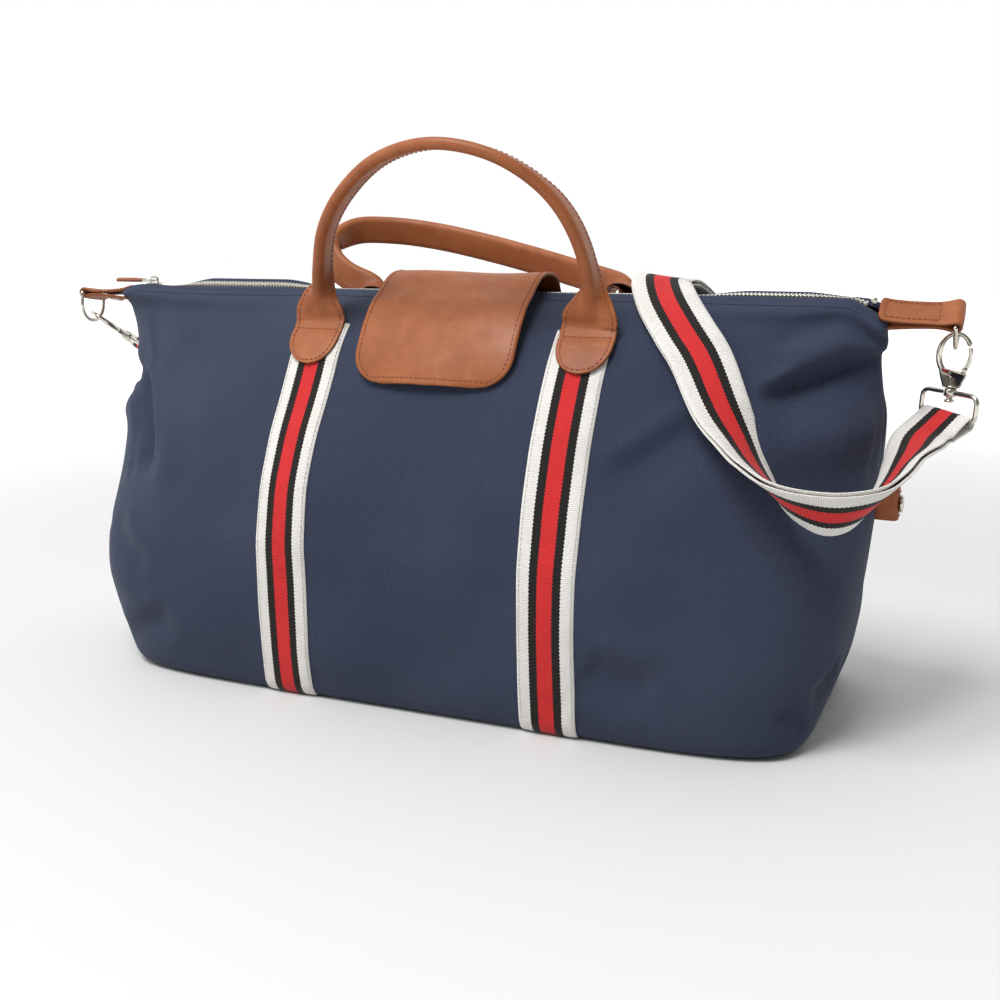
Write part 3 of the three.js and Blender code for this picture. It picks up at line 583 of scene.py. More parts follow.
GAP = 0.35 * MM
ZIP_TOP = 0.286
TIP_DROP = {-1: 0.0040, 1: 0.0110}
TIP_RUN = 0.024
TIP_LEAN = {-1: -0.28, 1: 0.45}

# Heights, reach to the left and right tips, half the depth, and how square the plan is.
BODY_ROWS = np.array([
    [0.000, 0.262, 0.262, 0.111, 7.0],
    [0.010, 0.268, 0.266, 0.114, 6.4],
    [0.035, 0.284, 0.274, 0.117, 5.2],
    [0.070, 0.298, 0.282, 0.119, 4.2],
    [0.114, 0.305, 0.287, 0.119, 3.3],
    [0.155, 0.305, 0.2905, 0.111, 2.7],
    [0.178, 0.3055, 0.291, 0.1027, 2.45],
    [0.193, 0.3100, 0.291, 0.0963, 2.38],
    [0.207, 0.2965, 0.291, 0.0884, 2.30],
    [0.224, 0.2975, 0.291, 0.0787, 2.15],
    [0.246, 0.3045, 0.291, 0.065, 2.0],
    [0.264, 0.310, 0.291, 0.048, 1.9],
    [0.277, 0.314, 0.291, 0.029, 2.2],
    [0.286, 0.315, 0.291, 0.011, 12],
])


def body_value(z, column):
    """A value of the body at a height, with the corners between the rows eased."""
    z = np.asarray(z, float)
    reach = np.clip((ZIP_TOP - z) / 3, 0.0005, 0.006)
    total = 0
    offsets = (-1.0, -0.5, 0.0, 0.5, 1.0)
    for offset in offsets:
        total = total + np.interp(z + offset * reach, BODY_ROWS[:, 0], BODY_ROWS[:, column])
    return total / len(offsets)


def skin_depth(x, z, inset=0.0):
    x, z = np.asarray(x, float), np.asarray(z, float)
    reach = np.where(x < 0, body_value(z, 1), body_value(z, 2)) - inset
    depth = body_value(z, 3) - inset
    power = body_value(z, 4)
    share = np.clip(np.abs(x) / reach, 0, 1)
    return depth * (1 - share ** power) ** (1 / power)


def skin_normal(x, z, side):
    step = 0.004
    high = np.minimum(np.asarray(z, float) + step, ZIP_TOP)
    rise = skin_depth(x, np.asarray(z) - step) - skin_depth(x, high)
    slant = skin_depth(np.asarray(x) - step, z) - skin_depth(np.asarray(x) + step, z)
    run = high - (np.asarray(z) - step)
    return unit(np.stack([slant / (2 * step), side * np.ones_like(rise), rise / run], axis=-1))


def on_skin(x, z, side, lift=0.0):
    """A point on the front (side -1) or back (side 1) skin, folds included."""
    x, z = np.broadcast_arrays(np.asarray(x, float), np.asarray(z, float))
    normal = skin_normal(x, z, side)
    point = np.stack([x, side * (skin_depth(x, z) + GAP / 2), z], axis=-1)
    moved = relief(point.reshape(-1, 3), side).reshape(x.shape)
    return point + normal * (lift + moved)[..., None]


# Creases in the canvas: the points they follow, depth (a ridge is negative), half width on the
# steep side, half width on the shallow side, and the way of the shallow side.
CREASES = [
    ([(0.3080, 0.008, 0.266), (0.2900, -0.006, 0.257), (0.2715, -0.0225, 0.248), (0.2517, -0.0359, 0.239),
      (0.232, -0.0477, 0.230), (0.2181, -0.0552, 0.224)], 0.0110, 0.0050, 0.0210, (0, 0, -1)),
    ([(0.291, -0.004, 0.270), (0.270, -0.018, 0.264), (0.248, -0.028, 0.255), (0.226, -0.040, 0.245)],
     -0.0060, 0.0085, 0.0085, (0, 0, -1)),
    ([(0.2181, -0.0552, 0.224), (0.1815, -0.0738, 0.207), (0.1595, -0.0866, 0.191), (0.1303, -0.0993, 0.172)],
     0.0050, 0.0080, 0.0200, (0, 0, -1)),
    ([(0.290, -0.006, 0.236), (0.289, -0.016, 0.200), (0.286, -0.024, 0.165)],
     0.0018, 0.006, 0.009, (1, 0, 0)),
    ([(0.279, -0.038, 0.236), (0.277, -0.050, 0.200), (0.272, -0.064, 0.165)],
     -0.0014, 0.006, 0.010, (-1, 0, 0)),
    ([(-0.2800, -0.030, 0.222), (-0.2620, -0.047, 0.208), (-0.2480, -0.066, 0.190), (-0.2400, -0.080, 0.168),
      (-0.2440, -0.088, 0.145)], 0.0085, 0.0040, 0.0105, (-1, 0, 0)),
    ([(-0.2660, -0.036, 0.220), (-0.2460, -0.058, 0.204), (-0.2300, -0.076, 0.182), (-0.2225, -0.089, 0.158),
      (-0.2295, -0.094, 0.136)], -0.0030, 0.0060, 0.0140, (1, 0, 0)),
    ([(-0.2790, -0.040, 0.200), (-0.2700, -0.056, 0.180), (-0.2660, -0.068, 0.158), (-0.2700, -0.072, 0.138)],
     -0.0030, 0.0045, 0.0045, (1, 0, 0)),
    ([(-0.3000, -0.004, 0.232), (-0.2930, -0.014, 0.219), (-0.2800, -0.026, 0.214)], 0.0060, 0.0060, 0.0080,
     (0, 0, 1)),
    ([(-0.262, -0.080, 0.120), (-0.250, -0.094, 0.096), (-0.225, -0.106, 0.082)],
     0.0030, 0.007, 0.016, (0, 0, -1)),
    ([(-0.285, -0.030, 0.275), (-0.270, -0.045, 0.250), (-0.262, -0.055, 0.232)],
     0.0030, 0.006, 0.016, (1, 0, 0)),
    ([(0.276, -0.050, 0.062), (0.272, -0.060, 0.050), (0.262, -0.080, 0.044)],
     0.0050, 0.006, 0.010, (0, 0, -1)),
    ([(0.250, -0.100, 0.036), (0.258, -0.090, 0.026), (0.264, -0.078, 0.018)],
     0.0032, 0.006, 0.010, (0, 0, -1)),
    ([(0.128, -0.115, 0.060), (0.150, -0.115, 0.050), (0.176, -0.112, 0.046)],
     0.0040, 0.010, 0.020, (0, 0, -1)),
    ([(-0.20, -0.112, 0.050), (-0.24, -0.104, 0.030), (-0.26, -0.090, 0.018)],
     0.0035, 0.009, 0.012, (0, 0, -1)),
    ([(0.289, 0.010, 0.250), (0.282, 0.035, 0.222), (0.262, 0.062, 0.195)], 0.0070, 0.006, 0.016, (0, 0, -1)),
    ([(-0.300, 0.012, 0.250), (-0.288, 0.042, 0.215), (-0.270, 0.068, 0.190)],
     0.0070, 0.006, 0.016, (0, 0, -1)),
    ([(0.286, 0.030, 0.150), (0.276, 0.070, 0.120), (0.262, 0.092, 0.080)], 0.0030, 0.010, 0.014, (0, 0, -1)),
    ([(-0.296, 0.040, 0.140), (-0.286, 0.075, 0.105), (-0.270, 0.096, 0.070)],
     0.0032, 0.010, 0.014, (0, 0, -1)),
    ([(-0.10, 0.118, 0.110), (-0.02, 0.122, 0.085), (0.08, 0.121, 0.070)], 0.0018, 0.020, 0.024, (0, 0, -1)),
    ([(0.060, 0.100, 0.190), (0.020, 0.108, 0.165), (-0.03, 0.116, 0.140)], 0.0018, 0.018, 0.022, (0, 0, -1)),
]


def distance_to_line(points, line):
    """How far each point is from a bent line, how far along it (0 to 1), and the way from it."""
    line = np.asarray(line, float)
    spans = len(line) - 1
    best = np.full(len(points), 9.0)
    where = np.zeros(len(points))
    way = np.zeros((len(points), 3))
    for i in range(spans):
        a, d = line[i], line[i + 1] - line[i]
        t = np.clip((points - a) @ d / (d @ d), 0, 1)
        gap = points - (a + t[:, None] * d)
        far = np.linalg.norm(gap, axis=1)
        near = far < best
        way[near] = gap[near]
        best = np.where(near, far, best)
        where = np.where(near, (i + t) / spans, where)
    return best, where, way


def relief(points, side):
    """How far the canvas stands off its plain shape at each point: soft waves and creases."""
    x, z = points[:, 0], points[:, 2]
    wave = (np.sin(x * 23 + z * 31 + side) * np.sin(z * 17 - x * 9 + 2.1 * side)
            + 0.6 * np.sin(x * 47 - z * 38 + 1.3 * side))
    calm = smooth_step(0.0, 0.05, z) * (1 - smooth_step(0.225, 0.27, z))
    height = 0.0017 * wave * calm
    for line, depth, steep, shallow, lie in CREASES:
        far, where, way = distance_to_line(points, centripetal(line, np.linspace(0, 1, 9)))
        share = smooth_step(-0.35, 0.35, (way @ vec(*lie)) / steep)
        width = steep + (shallow - steep) * share
        fade = smooth_step(-0.02, 0.2, where) * (1 - smooth_step(0.75, 1.02, where))
        valley = np.exp(-(far / width) ** 2)
        shoulder = np.exp(-((far - 1.9 * width) / (0.8 * width)) ** 2)
        height -= depth * fade * (valley - 0.32 * shoulder)
    return height


def panel_row(z, inset, side, flat=None):
    """One row across the front or back, from the left tip to the right tip, at a height."""
    turn = np.linspace(math.pi, 0, 721)
    cosine, sine = np.cos(turn), np.abs(np.sin(turn))
    power = float(body_value(z, 4))
    depth = (float(body_value(z, 3)) if flat is None else flat) - inset
    reach = np.where(cosine < 0, float(body_value(z, 1)), float(body_value(z, 2))) - inset
    x = np.sign(cosine) * reach * np.abs(cosine) ** (2 / power)
    y = side * (depth * sine ** (2 / power) + GAP / 2)
    return np.stack([x, y, np.full_like(x, z)], axis=1)


def tip_dip(points):
    """Lowers the lips towards the two tips of the bag."""
    x, z = points[..., 0], points[..., 2]
    reach = np.where(x < 0, BODY_ROWS[-1, 1], BODY_ROWS[-1, 2])
    near = np.clip((np.abs(x) - (reach - TIP_RUN)) / TIP_RUN, 0, 1)
    lowered = points.copy()
    high = np.clip(z / ZIP_TOP, 0, 1) ** 4
    lean = np.where(x < 0, TIP_LEAN[-1], TIP_LEAN[1]) * smooth_step(0.265, 0.285, np.abs(x))
    drop = np.where(x < 0, TIP_DROP[-1], TIP_DROP[1])
    lowered[..., 2] += high * (lean * np.clip(points[..., 1], -0.012, 0.012) - drop * near ** 1.5)
    sag = np.exp(-((x + 0.287) / 0.013) ** 2) * smooth_step(0.0055, 0.012, -points[..., 1])
    lowered[..., 2] -= 0.0035 * sag * high
    return lowered


def lip_hump(x):
    """Gentle rise and fall of the zip opening along the bag."""
    left = smooth_step(-0.275, -0.235, x) * (1 - smooth_step(-0.17, -0.12, x))
    right = smooth_step(0.165, 0.20, x) * (1 - smooth_step(0.235, 0.272, x))
    return 0.0029 * left + 0.0015 * right


def zip_tilt(points):
    """Raises the zip and its lips where the opening rises and leans to the front."""
    points = np.asarray(points, float)
    lift = lip_hump(points[..., 0])
    moved = points.copy()
    moved[..., 2] += lift * (1 + 120 * np.clip(points[..., 1], -0.011, 0.011))
    return moved


PANEL_COLUMNS = 230
BASE_ROUND = 0.009
CANVAS_THICKNESS = 1.4 * MM
LIP_SEAM = (-0.298, 0.276)
LIP_FOLD = [(0.0102, 0.0007), (0.0092, 0.0013), (0.0078, 0.0016), (0.0064, 0.0013), (0.0056, 0.0006),
            (0.0056, -0.0006)]


def panel_grid(inset, side):
    """Rows of points up one side of the bag, from under the base to the folded lip."""
    rows = []
    for turn in np.radians([-25, 0, 18, 36, 54, 72, 90]):
        inward = BASE_ROUND * (1 - math.sin(turn)) if turn > 0 else BASE_ROUND - 0.02 * math.sin(turn)
        height = 0.0002 + BASE_ROUND * (1 - math.cos(max(turn, 0)))
        rows.append((height, inset + inward, None, 0.0))
    for z in np.linspace(BASE_ROUND + 0.004, ZIP_TOP, 92):
        rows.append((z, inset, None, 0.0))
    for half_depth, rise in LIP_FOLD:
        rows.append((ZIP_TOP, inset, half_depth + GAP / 2, rise))
    grid = []
    for z, shrink, flat, rise in rows:
        line = resample(panel_row(z, shrink, side, flat), PANEL_COLUMNS + 1)
        line[:, 2] += rise
        grid.append(line)
    return np.array(grid)


def grid_normals(grid):
    down = np.gradient(grid, axis=0)
    across = np.gradient(grid, axis=1)
    normals = unit(np.cross(across, down))
    middle = grid.mean(axis=(0, 1))
    outward = np.sum(normals * (grid - middle), axis=-1).mean()
    return normals if outward > 0 else -normals


def grid_uv(grid):
    """Flat cloth coordinates in metres, measured along the surface from its middle."""
    steps = np.linalg.norm(np.diff(grid, axis=1), axis=2)
    along = np.concatenate([np.zeros((len(grid), 1)), np.cumsum(steps, axis=1)], axis=1)
    middle = [np.interp(0, row[:, 0], reach) for row, reach in zip(grid, along)]
    along = along - np.array(middle)[:, None]
    rises = np.linalg.norm(np.diff(grid, axis=0), axis=2)
    up = np.concatenate([np.zeros((1, grid.shape[1])), np.cumsum(rises, axis=0)], axis=0)
    return np.stack([along, up], axis=-1)


def canvas_panel(name, side, node):
    grid = panel_grid(0.0, side)
    uv = grid_uv(grid)
    shape = grid.shape
    normals = grid_normals(grid)
    height = relief(grid.reshape(-1, 3), side).reshape(shape[:2])
    height *= smooth_step(0.002, 0.03, grid[..., 2])
    height *= np.where(grid[..., 0] > 0, 0.30 + 0.70 * smooth_step(0.0, 0.026, np.abs(grid[..., 1])), 1.0)
    outer = grid + normals * height[..., None]
    edge = smooth_step(0, 0.02, np.abs(grid[..., 1]))
    outer[..., 1] = np.where(edge < 1, grid[..., 1] * (1 - edge) + outer[..., 1] * edge, outer[..., 1])
    raised = zip_tilt(outer)
    outer[..., 2] += (raised - outer)[..., 2] * smooth_step(0.262, 0.286, grid[..., 2])
    outer = tip_dip(outer)
    normals = grid_normals(outer)
    settle(slab(name, outer, outer - normals * CANVAS_THICKNESS, uv), CANVAS, "canvas", "bag", node)
    row = -len(LIP_FOLD) - 2
    lip = outer[row]
    keep = (lip[:, 0] > LIP_SEAM[0]) & (lip[:, 0] < LIP_SEAM[1])
    sewn = stitches(f"{name}_lip_stitches", lip[keep], normals[row][keep], 3.2 * MM, 2.5 * MM, 0.3 * MM)
    settle(sewn, NAVY_THREAD, "canvas", "bag")


# ------------------------------------------------------------------ shoulder strap

# The strap from the left ring, behind the bag, over its top and down to the right ring:
# its middle line, and the way its outer face looks.
LEFT_BAR = (-0.33981, 0.04303, 0.23191)
RIGHT_BAR = (0.32980, 0.01156, 0.21053)
STRAP_ROUTE = [
    (LEFT_BAR, (0.42, 0.43, 0.8)),
    ((-0.333, 0.066, 0.218), (0.4, 0.5, 0.77)),
    ((-0.318, 0.080, 0.201), (0.3, 0.65, 0.7)),
    ((-0.292, 0.092, 0.181), (0.2, 0.8, 0.55)),
    ((-0.258, 0.102, 0.163), (0.05, 0.9, 0.4)),
    ((-0.215, 0.111, 0.149), (-0.05, 0.96, 0.25)),
    ((-0.165, 0.119, 0.140), (-0.05, 0.98, 0.1)),
    ((-0.105, 0.123, 0.137), (0, 1, 0)),
    ((-0.048, 0.123, 0.140), (0, 1, 0)),
    ((0.010, 0.122, 0.148), (0.02, 0.99, 0.1)),
    ((0.060, 0.118, 0.161), (0.06, 0.97, 0.2)),
    ((0.100, 0.109, 0.179), (0.1, 0.93, 0.35)),
    ((0.128, 0.096, 0.202), (0.1, 0.88, 0.45)),
    ((0.146, 0.077, 0.228), (0.1, 0.8, 0.55)),
    ((0.155, 0.055, 0.254), (0.08, 0.74, 0.66)),
    ((0.156, 0.035, 0.276), (0.05, 0.62, 0.78)),
    ((0.146, 0.015, 0.2937), (0.08, 0.4, 0.92)),
    ((0.141, -0.004, 0.2974), (0.15, -0.1, 1)),
    ((0.151, -0.027, 0.2850), (0.12, -0.6, 0.8)),
    ((0.168, -0.044, 0.266), (0.14, -0.66, 0.74)),
    ((0.182, -0.055, 0.2505), (0.20, -0.68, 0.7)),
    ((0.200, -0.071, 0.221), (0.45, -0.62, 0.62)),
    ((0.2115, -0.079, 0.2045), (0.66, -0.40, 0.62)),
    ((0.2235, -0.0885, 0.1895), (0.74, -0.12, 0.64)),
    ((0.2375, -0.097, 0.178), (0.60, 0.24, 0.75)),
    ((0.253, -0.101, 0.170), (0.4, 0.55, 0.72)),
    ((0.275, -0.100, 0.165), (0.05, 0.75, 0.65)),
    ((0.293, -0.089, 0.168), (-0.25, 0.6, 0.7)),
    ((0.303, -0.070, 0.176), (-0.5, 0.3, 0.75)),
    ((0.309, -0.048, 0.1845), (-0.6, -0.1, 0.65)),
    ((0.314, -0.024, 0.1925), (-0.4, -0.3, 0.8)),
    ((0.3175, -0.003, 0.1999), (-0.21, -0.43, 0.87)),
    (RIGHT_BAR, (-0.21, -0.43, 0.87)),
]
LAYER_LIFT = 1.6 * MM
BAR_LIFT = 4.0 * MM
SLIDER_STATION = 10
STEPS_PER_SPAN = 8
WEBBING_THICKNESS = 1.8 * MM
TAIL = 0.024


def ribbon(name, centres, faces, half_widths):
    """Webbing along a line: rounded edges, cloth coordinates in metres."""
    centres = np.asarray(centres, float)
    along = directions(centres)
    across = unit(np.cross(along, faces))
    up = unit(np.cross(across, along))
    half_widths = np.broadcast_to(np.asarray(half_widths, float), len(centres))
    u = np.linspace(-1, 1, 17)
    h = WEBBING_THICKNESS / 2
    edge = np.where(np.abs(u) > 0.999, 0.55, 1.0)
    section_u = np.concatenate([u, [1.015], u[::-1], [-1.015]])
    section_h = np.concatenate([h * edge, [0], -h * edge[::-1], [0]])
    rings = (centres[:, None] + (half_widths[:, None] * section_u[None])[..., None] * across[:, None]
             + section_h[None, :, None] * up[:, None])
    v = lengths_along(centres)
    uv = np.stack([np.broadcast_to(section_u * HALF_WEBBING, (len(centres), len(section_u))),
                   np.broadcast_to(v[:, None], (len(centres), len(section_u)))], axis=-1)
    return loft(name, rings, False, uv.reshape(-1, 2))


def route_line(route, steps):
    """Smooth line through a route of places and looks, with the unit look at each point."""
    t = np.linspace(0, 1, steps + 1)
    return centripetal([place for place, _ in route], t), unit(centripetal([look for _, look in route], t))


def layer(centres, faces, side):
    """The line of one of the two layers, which part near the rings' bars."""
    along = directions(centres)
    across = unit(np.cross(along, faces))
    up = unit(np.cross(across, along))
    bars = np.array([LEFT_BAR, RIGHT_BAR])
    nearest = np.linalg.norm(centres[:, None] - bars[None], axis=2).min(axis=1)
    parting = np.clip(1 - nearest / 0.016, 0, 1)
    lift = side * (LAYER_LIFT + (BAR_LIFT - LAYER_LIFT) * parting)
    return centres + up * lift[:, None], up, HALF_WEBBING - 1.0 * MM * parting


def wrap_round_bar(bar, start_face, along, sweep):
    """Line of the webbing round a ring's bar, from its outer side round by the far side."""
    angles = np.radians(np.linspace(0, sweep, 13))[1:]
    faces = (np.cos(angles)[:, None] * start_face + np.sin(angles)[:, None] * along)
    return np.asarray(bar) + BAR_LIFT * faces, faces


def shoulder_strap():
    centres, faces = route_line(STRAP_ROUTE, STEPS_PER_SPAN * (len(STRAP_ROUTE) - 1))
    main, main_faces, main_width = layer(centres, faces, 1)
    back, back_faces, back_width = layer(centres, faces, -1)
    ends = directions(centres)
    far_line, far_faces = wrap_round_bar(RIGHT_BAR, main_faces[-1], ends[-1], 180)
    near_line, near_faces = wrap_round_bar(LEFT_BAR, main_faces[0], -ends[0], 180)
    tail_steps = int(np.searchsorted(lengths_along(back), TAIL))
    tail = back[1:tail_steps][::-1]
    line = np.concatenate([tail, near_line[::-1], main, far_line])
    looks = np.concatenate([-back_faces[1:tail_steps][::-1], near_faces[::-1], main_faces, far_faces])
    widths = np.concatenate([back_width[1:tail_steps][::-1], np.full(len(near_line), main_width[0]),
                             main_width, np.full(len(far_line), main_width[-1])])
    strap = ribbon("shoulder_strap", line, looks, widths)
    settle(strap, WEBBING, "webbing", "bag", "strap_webbing")
    slider = strap_slider(centres, faces)
    tag = strap_box_stitch(back, back_faces)
    float(lengths_along(line)[-1])
    first = STEPS_PER_SPAN * SLIDER_STATION
    under = back[first:]
    returned = ribbon("shoulder_strap_return", under, back_faces[first:], back_width[first:])
    settle(returned, WEBBING, "webbing", "bag", "strap_return_webbing")
    float(lengths_along(under)[-1])


def strap_box_stitch(back, back_faces):
    """Sewn box that holds the strap's end on itself by the left ring."""
    steps = slice(3, 7)
    middle = back[steps]
    faces = back_faces[steps]
    along = directions(back)[steps]
    across = unit(np.cross(along, faces))
    half = HALF_WEBBING * 0.72
    corners = np.array([middle[0] - across[0] * half, middle[0] + across[0] * half,
                        middle[-1] + across[-1] * half, middle[-1] - across[-1] * half,
                        middle[0] - across[0] * half])
    look = -faces.mean(axis=0)
    line = resample(corners, 120) + look * (WEBBING_THICKNESS / 2)
    sewn = stitches("strap_end_stitches", line, look, 3.0 * MM, 2.4 * MM)
    return settle(sewn, CREAM_THREAD, "webbing", "bag")


def strap_slider(centres, faces):
    """Three-bar slider of round wire."""
    at = STEPS_PER_SPAN * SLIDER_STATION
    along = directions(centres)[at]
    across = unit(np.cross(along, faces[at]))
    up = unit(np.cross(across, along))
    middle = centres[at] + up * (LAYER_LIFT + 3.2 * MM)
    half_width, half_height, corner = 23.4 * MM, 8.4 * MM, 4.5 * MM
    outline = rounded_rectangle(half_width, half_height, corner)
    points = middle + outline[:, :1] * across + outline[:, 1:] * along
    frame_wire = tube("strap_slider_frame", points, 1.35 * MM, True, 14, up)
    bar_ends = np.linspace(-half_width, half_width, 9)[:, None] * across
    bar = tube("strap_slider_bar", middle + bar_ends, 1.2 * MM, False, 14, up)
    slider = join([frame_wire, bar], "strap_slider_wire")
    return settle(slider, NICKEL, "hardware", "bag", "strap_slider")


def rounded_rectangle(half_width, half_height, corner, steps=8):
    points = []
    for sx, sy, start in ((1, 1, 0), (-1, 1, 90), (-1, -1, 180), (1, -1, 270)):
        for angle in np.radians(np.linspace(start, start + 90, steps)):
            points.append((sx * (half_width - corner) + corner * math.cos(angle),
                           sy * (half_height - corner) + corner * math.sin(angle)))
    closed = np.array(points + points[:1])
    return resample(closed, 97)[:-1]


shoulder_strap()

# ------------------------------------------------------------------ canvas, base, lining

canvas_panel("front_canvas", -1, "front_panel")
canvas_panel("back_canvas", 1, "back_panel")


def flat_outline(inset, count=160):
    front = resample(panel_row(0.0, inset, -1), count)[:-1]
    back = resample(panel_row(0.0, inset, 1), count)[::-1][:-1]
    return np.concatenate([front, back])


def plate(name, inset, low, high, material, slot, node, crown=0.0):
    """A base plate: rings shrinking to the middle, on both faces."""
    shares = (0.02, 0.25, 0.5, 0.75, 0.93, 0.985, 1.0)
    rings = []
    for share, level in [(share, low) for share in shares] + [(share, high) for share in shares[::-1]]:
        ring = flat_outline(inset) * vec(share, share, 0)
        ring[:, 2] = level + crown * (1 - share ** 2)
        rings.append(ring)
    uv = np.array(rings)[..., :2].reshape(-1, 2)
    settle(loft(name, rings, False, uv), material, slot, "bag", node)


plate("base_canvas", 10.5 * MM, 0.0, 1.8 * MM, CANVAS, "canvas", "base_panel", 0.6 * MM)
plate("stiff_base_board", 13 * MM, 2.8 * MM, 5.0 * MM, BOARD, "board", "base_board")


def base_seam():
    line = flat_outline(9.6 * MM)
    line[:, 2] = 0.9 * MM
    cord = tube("base_seam_piping", line, 0.9 * MM, True, 8, UP)
    add_uv(cord.data, np.zeros((len(cord.data.vertices), 2)))
    settle(cord, CANVAS, "canvas", "bag")


base_seam()


def lining_sleeve():
    """Thin lining hung inside the canvas."""
    def ring(z, inset):
        front = resample(panel_row(z, inset, -1), 90)[:-1]
        back = resample(panel_row(z, inset, 1), 90)[::-1][:-1]
        return np.concatenate([front, back])
    heights = np.concatenate([np.linspace(0.007, 0.262, 40), [0.270, 0.274]])
    rings = [ring(z, 6.5 * MM) for z in heights] + [ring(z, 7.1 * MM) for z in heights[::-1]]
    rings = np.array(rings)
    flat = rings.reshape(-1, 3)
    front = flat[:, 1] < 0
    moved = np.where(front, relief(flat, -1), relief(flat, 1))
    normals = np.where(front[:, None], skin_normal(flat[:, 0], flat[:, 2], -1),
                       skin_normal(flat[:, 0], flat[:, 2], 1))
    flat = flat + normals * (1.3 * np.minimum(moved, 0.0))[:, None]
    rings = tip_dip(flat.reshape(rings.shape))
    uv = np.stack([rings[..., 0] + rings[..., 1], rings[..., 2]], axis=-1).reshape(-1, 2)
    settle(loft("cloth_lining", rings, True, uv), LINING_CLOTH, "lining", "bag", "lining")


lining_sleeve()

# ------------------------------------------------------------------ webbing stripes

STRIPE_X = 0.1006
STRIPE_TOP = 0.264
STRIPE_SEAM = 18.2 * MM


def stripe(place, side, hand, sign):
    """Webbing sewn on the canvas from the base seam to under a handle's tongue."""
    z_line = np.concatenate([[0.0012, 0.004], np.linspace(BASE_ROUND, STRIPE_TOP, 100)])
    x_line = np.full_like(z_line, sign * STRIPE_X)
    bottom = np.clip(1 - z_line / BASE_ROUND, 0, 1)
    columns = np.linspace(-1, 1, 15)
    xs = x_line[:, None] + columns[None] * HALF_WEBBING
    zs = np.broadcast_to(z_line[:, None], xs.shape)
    edge = np.where(np.abs(columns) > 0.99, 0.35, 1.0)
    tuck = (BASE_ROUND * (1 - np.sqrt(np.clip(1 - bottom ** 2, 0, 1))))[:, None]
    tuck = vec(0, side, 0) * tuck[..., None]
    outer = on_skin(xs, zs, side, 0.5 * MM + 1.3 * MM * edge[None]) - tuck
    inner = on_skin(xs, zs, side, 0.15 * MM) - tuck
    along = np.broadcast_to(lengths_along(outer[:, len(columns) // 2])[:, None], xs.shape)
    band = slab(f"{place}_band_{hand}", outer, inner, np.stack([xs - sign * STRIPE_X, along], axis=-1))
    settle(band, WEBBING, "webbing", "bag", f"{place}_stripe_{hand}")
    for label, edge_sign in (("left", -1), ("right", 1)):
        line = on_skin(x_line + edge_sign * STRIPE_SEAM, z_line, side, 1.75 * MM)[3:]
        sewn = stitches(f"{place}_band_{hand}_stitches_{label}", line, skin_normal(x_line, z_line, side)[3:],
                        3.4 * MM, 2.7 * MM, 0.26 * MM, 0.05 * MM)
        settle(sewn, CREAM_THREAD, "webbing", "bag")


for place, side in (("front", -1), ("back", 1)):
    for hand, sign in (("left", -1), ("right", 1)):
        stripe(place, side, hand, sign)

# ------------------------------------------------------------------ handles

SHEET = 2.3 * MM
TONGUE_LOW = 0.236
TONGUE_HALF = 19.8 * MM
TONGUE_STITCH_Z = 0.2615
TONGUE_TOP = 0.2645
TONGUE_ROUND = 18.5 * MM
TONGUE_X = 0.1035
SWELL_Z = 0.2675
GATHER_Z = 0.274
FOLD_RADIUS = 4.1 * MM
STRIP_DEPTH = 21.5 * MM
SEAM_HALF = 2.0 * MM
SHEET_COLUMNS = 41
NOSE_SHARE = 0.26
EDGE_INSET = 3.0 * MM
ROUND_ROWS = 5
# Where a handle starts and ends to fold, as a reach from its crease, at the front and the back.
FOLD_RUN = {-1: (-0.004, 0.034), 1: (-0.010, 0.020)}

FRONT_HANDLE = [
    ((-0.104, -0.0485, 0.271), (0, -1, 0)), ((-0.1035, -0.0495, 0.282), (0, -1, 0)),
    ((-0.098, -0.054, 0.301), (0.05, -1, 0.05)), ((-0.087, -0.064, 0.331), (0.05, -1, 0)),
    ((-0.064, -0.075, 0.357), (0, -1, 0)), ((-0.030, -0.085, 0.378), (0, -1, 0)),
    ((0.012, -0.090, 0.386), (0, -1, 0)), ((0.052, -0.085, 0.378), (0, -1, 0)),
    ((0.082, -0.075, 0.358), (0, -1, 0)), ((0.098, -0.064, 0.334), (-0.05, -1, 0)),
    ((0.106, -0.054, 0.304), (-0.05, -1, 0.05)), ((0.1055, -0.0495, 0.284), (0, -1, 0)),
    ((0.104, -0.0485, 0.271), (0, -1, 0)),
]
REAR_HANDLE = [
    ((-0.104, 0.0485, 0.271), (0, 1, 0)), ((-0.106, 0.050, 0.280), (0, 0.8, 0.6)),
    ((-0.118, 0.0505, 0.288), (0.3, 0.45, 0.8)), ((-0.136, 0.051, 0.295), (0.3, 0.2, 0.9)),
    ((-0.151, 0.055, 0.306), (0.45, 0.0, 0.85)), ((-0.156, 0.065, 0.321), (0.25, -0.45, 0.8)),
    ((-0.146, 0.082, 0.3305), (0.05, -0.25, 0.95)), ((-0.120, 0.098, 0.331), (0, -0.15, 1)),
    ((-0.084, 0.106, 0.3265), (0, -0.15, 1)), ((-0.041, 0.107, 0.318), (0, -0.15, 1)),
    ((0.003, 0.102, 0.308), (0, -0.15, 1)), ((0.047, 0.087, 0.298), (0, -0.05, 1)),
    ((0.078, 0.069, 0.292), (0, 0.15, 1)), ((0.095, 0.058, 0.288), (0, 0.45, 0.9)),
    ((0.103, 0.0505, 0.281), (0, 0.85, 0.5)), ((0.104, 0.0485, 0.271), (0, 1, 0)),
]


